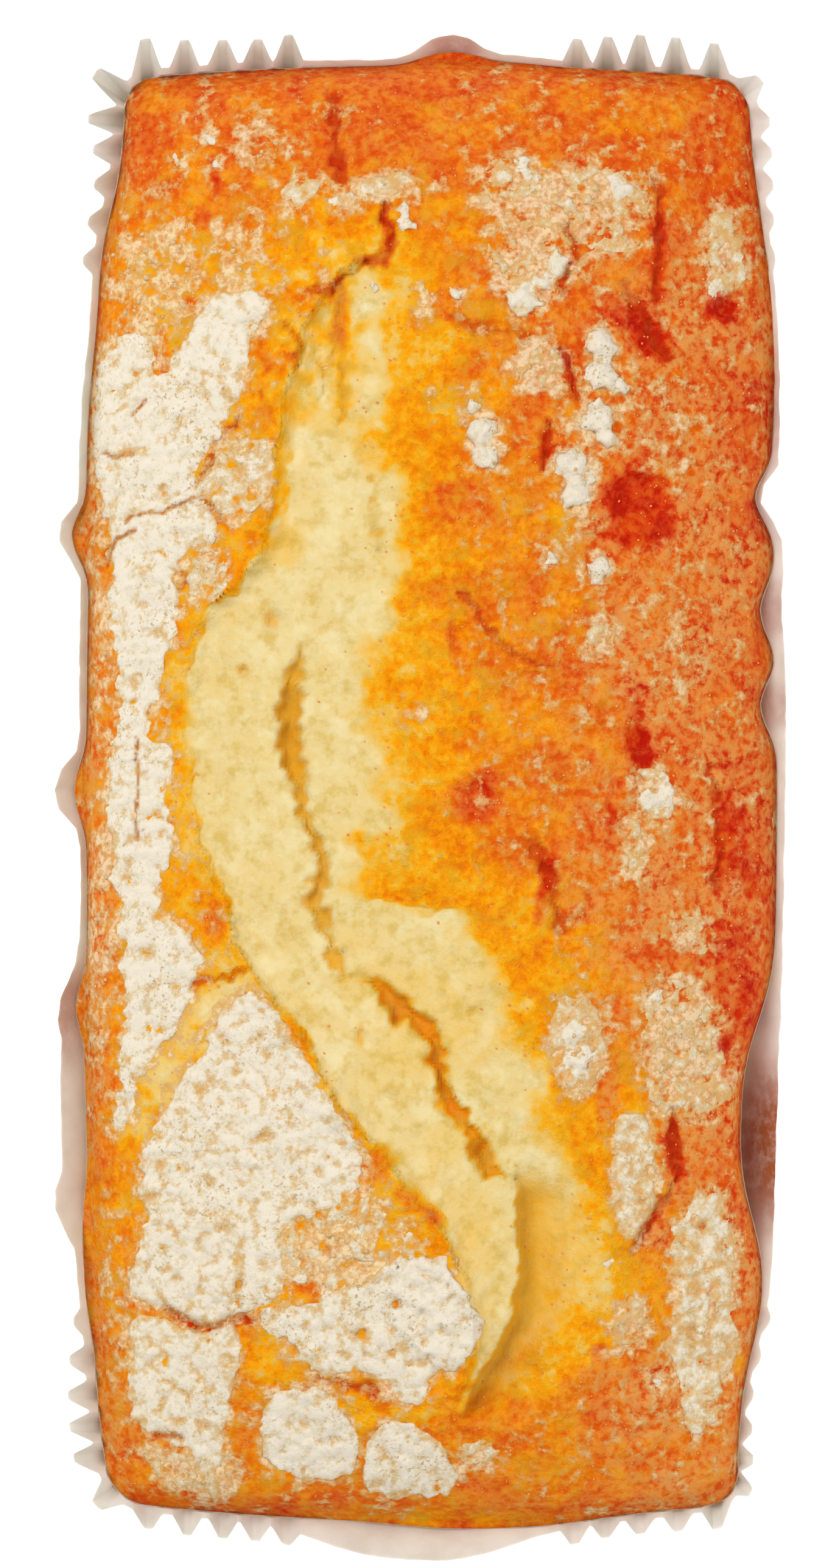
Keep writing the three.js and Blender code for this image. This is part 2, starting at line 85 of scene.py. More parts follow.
# The tear: places along the loaf, and its left and right edges there. A lip stands up along its
# left edge, except where that edge lies far to the left.
TEAR = [
    (74, -6, -4),
    (70, -8.5, -3),
    (62, -15, -3.5),
    (48, -18.5, -4),
    (40, -19, -2.5),
    (32, -20.5, -0.5),
    (27.5, -24, -1.5),
    (25, -27.5, -4),
    (18, -30, -4),
    (10, -31.5, 0.5),
    (-1, -29.5, -2.5),
    (-5, -28.8, -3),
    (-14, -25.5, 6.5),
    (-19, -24, 9),
    (-25, -20.8, 12),
    (-32, -15, 15),
    (-40, -10.8, 18.5),
    (-46, -5.5, 21.5),
    (-51, -1.5, 23),
    (-58, 3.6, 25),
    (-64, 6.4, 24.5),
    (-72, 8, 18),
    (-82, 4, 5),
]
TEAR_DEPTH = 1.4
TEAR_LEFT_START = 0.4
TEAR_LEFT_SLOPE = 2.8
TEAR_RIGHT_SLOPE = 9
TEAR_END_FADE = 5
LIP_HEIGHT = 1.1
LIP_REACH = 5
LIP_FADES = (-34, -24)

# The crack in the crumb: x, y, half width and depth.
CRACK = [
    (-15.1, 19.4, 0.3, 0.6),
    (-16.7, 16, 0.9, 1.6),
    (-17, 12.8, 1.5, 2.6),
    (-17, 8.8, 1.5, 2.8),
    (-16.7, 4.8, 1.3, 2.6),
    (-15.8, 2.6, 0.9, 2),
    (-15.2, -0.6, 0.7, 1.4),
    (-14.7, -3.2, 0.6, 1.4),
    (-14.1, -5.6, 0.6, 1.4),
    (-12.7, -8.8, 0.55, 1.4),
    (-12.4, -10.8, 0.9, 1.8),
    (-13.8, -12.8, 1, 1.8),
    (-12.9, -16, 0.6, 1.4),
    (-11.9, -18.4, 0.3, 1),
    (-11.1, -21.6, 0.7, 1.2),
    (-9.9, -23.2, 0.4, 0.8),
    (-7.1, -23.4, 0.25, 0.6),
    (-5.1, -24.6, 0.8, 1.6),
    (-3.1, -26.8, 1.6, 2.8),
    (-0.7, -29.2, 1.2, 2.6),
    (1.7, -32, 0.9, 2.2),
    (2.3, -36, 1, 2.4),
    (3.7, -40, 1, 2.2),
    (5.7, -42.8, 0.6, 1.4),
    (7.3, -44.4, 0.7, 1.6),
    (8.1, -46.4, 1.4, 2.4),
    (8.9, -48.4, 1, 1.8),
    (10.1, -49.4, 0.4, 1),
]

# The step where the left lobe of crumb stands over the right one: points, drop and run-out.
STEP = [(12.7, -50.5), (12.8, -58), (12.7, -64), (12.3, -67.2), (10.2, -71.6), (7.4, -76), (4.5, -82.2)]
STEP_DROP = 3.4
STEP_RUN = 10
STEP_END_FADE = 4

# How wide the sides of the crack and of the creases run out, in shares of their half widths.
CRACK_FLOOR = 0.3
CRACK_SIDE = 1.2
CREASE_SIDE = 1.3

# Heights of the crust's waves and knobs, and of the crumb's waves and grain.
WAVE_HEIGHT = 0.42
KNOB_HEIGHT = 0.36
CRUMB_WAVE_HEIGHT = 0.34
CRUMB_GRAIN_HEIGHT = 0.11

# Short creases and folds in the crust: half width, depth, how much browner, and their points.
CREASES = [
    # round the head of the tear
    (0.7, 1.1, 0.26, [(-4.7, 77.6), (-3.5, 73), (-4.7, 70.9), (-7.1, 70.3)]),
    (0.6, 0.9, 0.2, [(-7.1, 70.3), (-9.5, 68.4), (-12.7, 66), (-14, 66.4)]),
    (0.6, 0.8, 0.16, [(-9.8, 66.6), (-10.4, 61), (-11.4, 57)]),
    (0.4, 0.6, 0.2, [(-13.3, 59.2), (-13, 52.8)]),
    (0.4, 0.6, 0.16, [(-10.4, 56.8), (-10.2, 49.6)]),
    (0.5, 0.6, 0.12, [(-17.6, 62.4), (-15.4, 59.6), (-16.4, 56.4)]),
    (0.9, 0.7, 0.12, [(-11.4, 92), (-11.2, 85), (-10.4, 80.6)]),
    # on the right
    (0.8, 0.9, 0.14, [(31.2, 82), (31.6, 75), (31, 66)]),
    (0.7, 0.8, 0.1, [(27, 66.5), (29.6, 62), (33, 57.5)]),
    (0.8, 0.9, 0.14, [(19.6, 75), (20.6, 71), (18.5, 67)]),
    (0.7, 0.9, 0.16, [(16.6, 48.6), (16.2, 45.6), (16, 42.5)]),
    (0.8, 0.9, 0.14, [(18.3, 59), (20, 55.5), (20.8, 53)]),
    (1.1, 1.1, 0.14, [(15.6, -6.4), (17.2, -11.4), (18.6, -16.8)]),
    (0.6, 0.7, 0.1, [(38.2, 4), (39.5, -4), (39, -12)]),
    (0.6, 0.7, 0.12, [(5.6, 27.2), (8.4, 22.4), (13, 18.4), (17.6, 17)]),
    (0.7, 0.9, 0.12, [(33.5, -41), (33.6, -50), (27.5, -59.5)]),
    (0.8, 0.6, 0.08, [(4.6, 62.4), (9.6, 61.2), (15, 60.2)]),
    # at the near end
    (0.9, 1.1, 0.3, [(-33.5, -66.8), (-30.3, -69.2), (-27.9, -69.5), (-23.1, -68), (-21.4, -68.4)]),
    (0.8, 0.8, 0.26, [(-34.6, -84), (-31.4, -84.2)]),
    (0.8, 0.9, 0.22, [(-14.3, -76.8), (-9, -77.2), (-5.6, -77.8)]),
    (0.5, 0.5, 0.2, [(-29.8, -25), (-27.4, -23.6), (-23.4, -23.2)]),
    # between the left sheets
    (0.6, 0.7, 0.2, [(-23.8, 49.4), (-26.6, 45.6), (-29, 41.4)]),
    (0.4, 0.5, 0.2, [(-27.4, 38.4), (-28.8, 39.4), (-31.1, 38.6), (-34.2, 37), (-36.4, 37.2), (-38.4, 36.4)]),
    (0.5, 0.6, 0.16, [(-37.4, 35.2), (-39.6, 34.2), (-41, 31)]),
    (0.4, 0.5, 0.14, [(-41.5, 45.4), (-39.6, 44.6), (-37.6, 45.2)]),
    (0.4, 0.5, 0.14, [(-36, 52), (-37.6, 50.4)]),
    (0.5, 0.6, 0.2, [(-27.5, 38.4), (-25.9, 36)]),
    (0.4, 0.4, 0.14, [(-37.1, 7.6), (-37.3, 1), (-37, -5.6)]),
    (0.4, 0.4, 0.14, [(-31.6, 30.8), (-30.6, 28), (-31.4, 25.4)]),
]

# Small hollows: x, y, half sizes across and along, and depth.
HOLLOWS = [
    (-19.1, 23.2, 0.9, 1.6, 1.2),
    (-23.5, 16.8, 0.8, 0.8, 1),
    (-6.6, 41.6, 0.5, 0.7, 0.7),
    (-6.2, 38.4, 0.5, 0.9, 0.7),
    (-5.9, 34.6, 0.6, 0.8, 0.7),
    (-5.6, 31.8, 0.4, 0.6, 0.6),
    (-7.9, -31.2, 0.7, 1.3, 0.9),
    (6.5, -28, 0.5, 0.6, 0.7),
    (0.9, -13.2, 0.5, 0.7, 0.7),
    (-10.6, -20.4, 0.5, 0.5, 0.6),
    (29, 39.2, 4, 3.8, 1.1),
    (29.7, 60.5, 3, 2.4, 0.9),
    (40, 65.4, 1.8, 1.8, 1.2),
    (29, 6.4, 1.7, 4.6, 1),
    (8.1, -0.8, 3.4, 3, 0.7),
    (4.9, 20, 1.4, 3.4, 0.8),
    (8.4, -47, 1.4, 1.8, 1),
]

# How uneven drawn edges are: how far they wander in coarse and in fine waves, and the seed.
TEAR_UNEVEN = (0.9, 0.5, 11)
CRACK_UNEVEN = (0.6, 0.9, 31)
STEP_UNEVEN = (0.4, 0.3, 51)
KNOB_UNEVEN = (0.8, 0.3, 61)
TINT_UNEVEN = (1, 0.7, 111)
COARSE_WAVE = 5.5
FINE_WAVE = 1.7

# The knobs of the crust's skin: share of the relief, size and seed.
KNOBS = [(0.6, 3.4, 75), (0.45, 1.9, 77)]

# Random slopes stand on a square lattice that repeats after so many cells, away from its start.
LATTICE = 256
LATTICE_X = 90.37
LATTICE_Y = 101.71

# A blob is full as far out as its core and gone at its reach, in shares of its half sizes.
BLOB_CORE = 0.35
BLOB_REACH = 1.35


def smooth(value, low, high):
    """0 below low, 1 above high, and an even S-shaped rise between them."""
    share = np.clip((value - low) / (high - low), 0, 1)
    return share * share * (3 - 2 * share)


def ripples(x, y, size, seed):
    """Soft random hills and hollows about size across, from -1 to 1."""
    slopes = np.random.default_rng(seed).uniform(0, 2 * math.pi, (LATTICE, LATTICE))
    across, along = x / size + LATTICE_X, y / size + LATTICE_Y
    column, row = np.floor(across).astype(int), np.floor(along).astype(int)
    dx, dy = across - column, along - row
    ease_x = dx ** 3 * (dx * (dx * 6 - 15) + 10)
    ease_y = dy ** 3 * (dy * (dy * 6 - 15) + 10)

    def corner(right, up):
        turn = slopes[(column + right) % LATTICE, (row + up) % LATTICE]
        return np.cos(turn) * (dx - right) + np.sin(turn) * (dy - up)

    near = corner(0, 0) * (1 - ease_x) + corner(1, 0) * ease_x
    far = corner(0, 1) * (1 - ease_x) + corner(1, 1) * ease_x
    return 1.5 * (near * (1 - ease_y) + far * ease_y)


def roughness(x, y, size, octaves, seed):
    """Ripples with finer and lower ones on top of them."""
    total = np.zeros_like(x)
    for octave in range(octaves):
        turned_x = x * math.cos(octave) - y * math.sin(octave)
        turned_y = x * math.sin(octave) + y * math.cos(octave)
        total += ripples(turned_x, turned_y, size / 2 ** octave, seed + octave) / 2 ** octave
    return total


def blob(x, y, middle_x, middle_y, half_x, half_y, turn=0):
    """1 in the middle of a turned oval, fading to 0 a little outside it."""
    dx, dy = x - middle_x, y - middle_y
    cos, sin = math.cos(math.radians(turn)), math.sin(math.radians(turn))
    out = np.hypot((dx * cos + dy * sin) / half_x, (dy * cos - dx * sin) / half_y)
    return 1 - smooth(out, BLOB_CORE, BLOB_REACH)


def nearest_on(line, x, y):
    """For each point its distance from a bent line, its place along it and its side of it."""
    distance, place, left = np.full_like(x, FAR_AWAY), np.zeros_like(x), np.zeros(x.shape, bool)
    for i in range(len(line) - 1):
        from_x, from_y, to_x, to_y = *line[i][:2], *line[i + 1][:2]
        dx, dy = to_x - from_x, to_y - from_y
        share = np.clip(((x - from_x) * dx + (y - from_y) * dy) / (dx * dx + dy * dy), 0, 1)
        away = np.hypot(x - from_x - share * dx, y - from_y - share * dy)
        closer = away < distance
        distance = np.where(closer, away, distance)
        place = np.where(closer, i + share, place)
        left = np.where(closer, dx * (y - from_y) - dy * (x - from_x) > 0, left)
    return distance, place, left


def along_line(line, place, value):
    """One of the line's own values at places along it."""
    return np.interp(place, np.arange(len(line)), [point[value] for point in line])


# The plain rim is a path of straight walls and round corners, from the right wall's middle.
STRAIGHT_X = RIM_HALF_WIDTH - CORNER_RADIUS
STRAIGHT_Y = RIM_HALF_LENGTH - CORNER_RADIUS
ARC = math.pi / 2 * CORNER_RADIUS
LONG_SIDE = 2 * STRAIGHT_Y + ARC
SHORT_SIDE = 2 * STRAIGHT_X + ARC
PERIMETER = 2 * (LONG_SIDE + SHORT_SIDE)

# Its marks: how far on from the last one, which way is out, and the side and end that it is at.
RIM_MARKS = [
    (0, 0, 1, 0),
    (STRAIGHT_Y, 0, 1, 1),
    (ARC, 90, 1, 1),
    (2 * STRAIGHT_X, 90, -1, 1),
    (ARC, 180, -1, 1),
    (2 * STRAIGHT_Y, 180, -1, -1),
    (ARC, 270, -1, -1),
    (2 * STRAIGHT_X, 270, 1, -1),
    (ARC, 360, 1, -1),
    (STRAIGHT_Y, 360, 1, 0),
]


def rim_at(length):
    """Points of the plain rim at lengths along it, and the directions out from it there."""
    length = np.mod(length, PERIMETER)
    stretches, turns, sides, ends = zip(*RIM_MARKS)
    marks = np.cumsum(stretches)
    turn = np.radians(np.interp(length, marks, turns))
    out = np.stack([np.cos(turn), np.sin(turn)], -1)
    middle_x = MIDDLE_X + STRAIGHT_X * np.interp(length, marks, sides)
    middle_y = MIDDLE_Y + STRAIGHT_Y * np.interp(length, marks, ends)
    return np.stack([middle_x, middle_y], -1) + CORNER_RADIUS * out, out


def corners_of(piece):
    """A piece's corners as its mesh has them, in metres."""
    corners = np.zeros(len(piece.data.vertices) * 3)
    piece.data.vertices.foreach_get("co", corners)
    return corners.reshape(-1, 3)


def tree_of(piece):
    """A piece's faces, ready for rays to be cast at them."""
    faces = [face.vertices for face in piece.data.polygons]
    return BVHTree.FromPolygons(corners_of(piece).tolist(), faces)


def stands(node, points, outs, heights):
    """How far out from points of the plain rim a node's outside stands, at a height for each."""
    tree = tree_of(bpy.data.objects[node])
    found = []
    for (x, y), (out_x, out_y), height in zip(points, outs, heights):
        start = Vector((x + out_x * FROM_OUTSIDE, y + out_y * FROM_OUTSIDE, height)) * MM
        hit = tree.ray_cast(start, Vector((-out_x, -out_y, 0)))
        found.append(FROM_OUTSIDE - hit[3] / MM if hit[0] else found[-1])
    return np.array(found)


def cake_wall(height):
    """How far out the cake's wall stands at a height, all the way round and a little evened."""
    points, outs = rim_at(np.arange(ROUND_STEPS) * PERIMETER / ROUND_STEPS)
    ring = stands("cake", points, outs, [height] * ROUND_STEPS)
    spread = range(-EVENED_OVER, EVENED_OVER + 1)
    return sum(np.roll(ring, step) for step in spread) / len(spread)


def round_the_wall(ring, length):
    """What a ring of the wall says at lengths along the plain rim."""
    marks = np.arange(ROUND_STEPS + 1) * PERIMETER / ROUND_STEPS
    return np.interp(np.mod(length, PERIMETER), marks, np.append(ring, ring[0]))


def dome_at(x, y):
    """How high the plain dome rises over the shoulder, with its crest left of the middle."""
    half_width = RIM_HALF_WIDTH + SIDE_BOW * (1 - ((y - MIDDLE_Y) / RIM_HALF_LENGTH) ** 2)
    aside = CREST_X - MIDDLE_X
    reach = half_width + np.where(x < CREST_X, aside, -aside)
    across = np.minimum(1, np.abs(x - CREST_X) / reach)
    along = np.minimum(1, np.abs(y - MIDDLE_Y) / (RIM_HALF_LENGTH + END_BOW))
    across_share = (1 - across ** ACROSS_POWER) ** ACROSS_ROUNDNESS
    return CROWN * across_share * (1 - along ** ALONG_POWER) ** ALONG_ROUNDNESS


def tear_at(y):
    """The tear's left and right edges, and how open it is towards its ends."""
    places, lefts, rights = zip(*reversed(TEAR))
    open_share = smooth(y, places[0], places[0] + TEAR_END_FADE)
    open_share = open_share * (1 - smooth(y, places[-1] - TEAR_END_FADE, places[-1]))
    return np.interp(y, places, lefts), np.interp(y, places, rights), open_share


def torn(x, y):
    """How much a point lies in the tear: sharp at its left edge and gradual at its right."""
    left, right, open_share = tear_at(y)
    inside = smooth(x, left - TEAR_LEFT_START, left + TEAR_LEFT_SLOPE)
    return inside * (1 - smooth(x, right - TEAR_RIGHT_SLOPE, right)) * open_share


def ragged(x, y, coarse, fine, seed):
    """Points moved about a little, so that what is drawn through them has uneven edges."""
    moved_x = x + coarse * ripples(x, y, COARSE_WAVE, seed) + fine * ripples(x, y, FINE_WAVE, seed + 1)
    moved_y = y + coarse * ripples(x, y, COARSE_WAVE, seed + 2) + fine * ripples(x, y, FINE_WAVE, seed + 3)
    return moved_x, moved_y


def crinkles(x, y):
    """The knobbly skin of the crust, from about -1 in its winding valleys to 1 on its knobs."""
    bent_x, bent_y = ragged(x, y, *KNOB_UNEVEN)
    skins = [share * (2.6 * np.abs(ripples(bent_x, bent_y, size, seed)) - 0.6) for share, size, seed in KNOBS]
    return sum(skins)


def big_relief(x, y):
    """The tear, its lip, the crack, the step, the creases and the hollows."""
    warped_x, warped_y = ragged(x, y, *TEAR_UNEVEN)
    left, _, open_share = tear_at(warped_y)
    from_lip = (left - warped_x) / LIP_REACH
    lip = np.where(from_lip > 0, np.clip(1 - from_lip, 0, 1) ** 1.5, 0) * smooth(left, *LIP_FADES)
    relief = LIP_HEIGHT * lip * open_share - TEAR_DEPTH * torn(warped_x, warped_y)

    crack_x, crack_y = ragged(x, y, *CRACK_UNEVEN)
    away, place, _ = nearest_on(CRACK, crack_x, crack_y)
    half, depth = along_line(CRACK, place, 2), along_line(CRACK, place, 3)
    relief -= depth * (1 - smooth(away, CRACK_FLOOR * half, CRACK_SIDE * half + 0.3))

    away, _, left_side = nearest_on(STEP, *ragged(x, y, *STEP_UNEVEN))
    fade = smooth(y, STEP[-1][1] - 1, STEP[-1][1] + STEP_END_FADE)
    fade = fade * (1 - smooth(y, STEP[0][1] - STEP_END_FADE, STEP[0][1] + STEP_END_FADE))
    drop = np.where(left_side, np.clip(1 - away / STEP_RUN, 0, 1), 0) * smooth(away, 0, 0.8)
    relief -= STEP_DROP * drop * fade

    for half, depth, _, line in CREASES:
        away, _, _ = nearest_on(line, crack_x, crack_y)
        relief -= depth * (1 - smooth(away, 0, CREASE_SIDE * half))
    for *oval, depth in HOLLOWS:
        relief -= depth * blob(warped_x, warped_y, *oval)
    return relief


def fine_relief(x, y):
    """The knobbly skin of the crust, and the soft, uneven crumb."""
    crumb = torn(*ragged(x, y, *TEAR_UNEVEN))
    skin = WAVE_HEIGHT * roughness(x, y, 8, 2, 71) + KNOB_HEIGHT * crinkles(x, y)
    soft = CRUMB_WAVE_HEIGHT * roughness(x, y, 6, 2, 85)
    soft = soft + CRUMB_GRAIN_HEIGHT * roughness(x, y, 2.2, 2, 87)
    return skin * (1 - crumb) + soft * crumb


def new_piece(name, add, **sizes):
    """The object that an operator makes, named and alone in the selection."""
    bpy.ops.object.select_all(action="DESELECT")
    add(**sizes)
    piece = bpy.context.object
    piece.name = name
    piece.data.name = name
    return piece


def place_corners(piece, corners):
    """Moves a piece's corners to places in millimetres."""
    piece.data.vertices.foreach_set("co", (np.asarray(corners) * MM).ravel())
    piece.data.update()


def paint(piece, name, values):
    """Gives each corner of a piece a number that its material reads."""
    layer = piece.data.attributes.new(name, "FLOAT", "POINT")
    layer.data.foreach_set("value", np.asarray(values, np.float32))


def pull_down(rings):
    """Pulls the selected open edge down ring by ring, closes it, and ends the editing."""
    for _ in range(rings):
        bpy.ops.mesh.extrude_edges_move(TRANSFORM_OT_translate={"value": (0, 0, -1)})
    bpy.ops.mesh.edge_face_add()
    bpy.ops.mesh.poke()
    bpy.ops.object.mode_set(mode="OBJECT")


# A flat grid is the top, and its edge is pulled down for the sides.
loaf = new_piece("loaf", bpy.ops.mesh.primitive_grid_add, x_subdivisions=ACROSS, y_subdivisions=ALONG, size=2)
bpy.ops.object.mode_set(mode="EDIT")
bpy.ops.mesh.select_all(action="SELECT")
bpy.ops.mesh.region_to_loop()
pull_down(len(SIDE_LEVELS))

# Every corner goes where its place in the grid says, on square rings that keep the outline.
grid = corners_of(loaf)
grid_x, grid_y, ring_below = grid[:, 0], grid[:, 1], np.rint(-grid[:, 2]).astype(int)
edge = np.maximum(np.abs(grid_x), np.abs(grid_y))
square_x, square_y = grid_x / np.maximum(edge, TINY), grid_y / np.maximum(edge, TINY)
corner_lengths = LONG_SIDE / 2 + np.array([0, SHORT_SIDE, LONG_SIDE + SHORT_SIDE])
on_right, on_far, on_left = square_x > NEARLY, square_y > NEARLY, square_x < -NEARLY
rim_length = np.select(
    [on_right & ~on_far, on_far, on_left],
    [
        square_y * LONG_SIDE / 2,
        corner_lengths[0] + (1 - square_x) * SHORT_SIDE / 2,
        corner_lengths[1] + (1 - square_y) * LONG_SIDE / 2,
    ],
    corner_lengths[2] + (1 + square_x) * SHORT_SIDE / 2,
)
rim_points, rim_outs = rim_at(rim_length)
cake_rings = [cake_wall(level) for level in SIDE_LEVELS]
level_of = np.clip(ring_below - 1, 0, len(SIDE_LEVELS) - 1)
stand = np.zeros_like(edge)
for level, ring in enumerate(cake_rings):
    stand = np.where(level_of == level, round_the_wall(ring, rim_length), stand)
stand = np.where(ring_below == len(SIDE_LEVELS), stand - BOTTOM_INSET, stand)
stand = stand + RIM_SWELL * (ring_below <= 1)
shore = rim_points + rim_outs * stand[:, None]
top_x = MIDDLE_X + (shore[:, 0] - MIDDLE_X) * edge
top_y = MIDDLE_Y + (shore[:, 1] - MIDDLE_Y) * edge
on_top = ring_below == 0
level_heights = np.array([SHOULDER] + SIDE_LEVELS)
inland = 1 - smooth(edge, 1 - EDGE_ROLL, 1)
relief = (big_relief(top_x, top_y) + fine_relief(top_x, top_y)) * inland
roll = 1 - np.clip((edge - 1 + EDGE_ROLL) / EDGE_ROLL, 0, 1) ** 4
height = SHOULDER + dome_at(top_x, top_y) * roll + relief
height = np.where(on_top, height, level_heights[np.minimum(ring_below, len(SIDE_LEVELS))])
place_corners(loaf, np.stack([top_x, top_y, height], -1))
bpy.ops.object.shade_smooth()

# How far the crust is baked: 0 is pale crumb, 0.46 gold, 0.7 orange-brown and 1 burnt. The crust
# darkens from the tear towards the right wall, and most at the case.
GOLD = 0.46
LEFT_CRUST = 0.42
FAR_CRUST = 0.66
NEAR_CRUST = 0.6
RIGHT_CRUST = 0.7
WALL_CRUST = 0.77
LEFT_WALL_CRUST = 0.6
SIDE_CRUST = 0.2
CRUMB = 0.14
# The crumb beyond the step and in the crumb's hollows is painted darker as shade.
SHADED_CRUMB = 0.36
SHADED_HOLLOW_CRUMB = 0.3
CRACK_CRUMB = 0.24

# What is added to it: painted shade with the crack's depth, more at its low end, by patches, and painted
# shade in the skin's valleys with painted light on its knobs.
SHADE_BY_DEPTH = 0.05
AT_LOW_END = 0.2
BY_PATCHES = 0.05
VALLEY_SHADE_KNOB_LIGHT = 0.06

# The mottled head of the tear: x, y and half sizes, and how far its browning varies.
HEAD = (-13, 61, 8, 16)
HEAD_MOTTLE = 0.24

# The right edge of the pale crumb, where it turns gold: place along the loaf and across it.
CRUMB_EDGE = [
    (76, -5), (66, -5.4), (60, -5.6), (54, -4.2), (50, -4.6), (48.5, -7), (45, -6.6), (42, -3.6),
    (38, -1.6), (33, -1.2), (28, -3.6), (23, -5), (17, -5.6), (9, -5.4), (4.8, -3.4), (0.8, -3),
    (-3.4, -3), (-5.2, -7), (-12, -7.1), (-13.6, -4), (-14.4, 2.6), (-16, 6), (-19.2, 7.6),
    (-23.2, 10.8), (-27.2, 12.6), (-31.2, 13.8), (-36, 15.6), (-40, 16.6), (-46, 18.4), (-51, 20),
    (-58, 21.5), (-66, 20), (-72, 15), (-83, 4),
]
CRUMB_FADE = 4.2
CRUMB_WANDER = 3.6

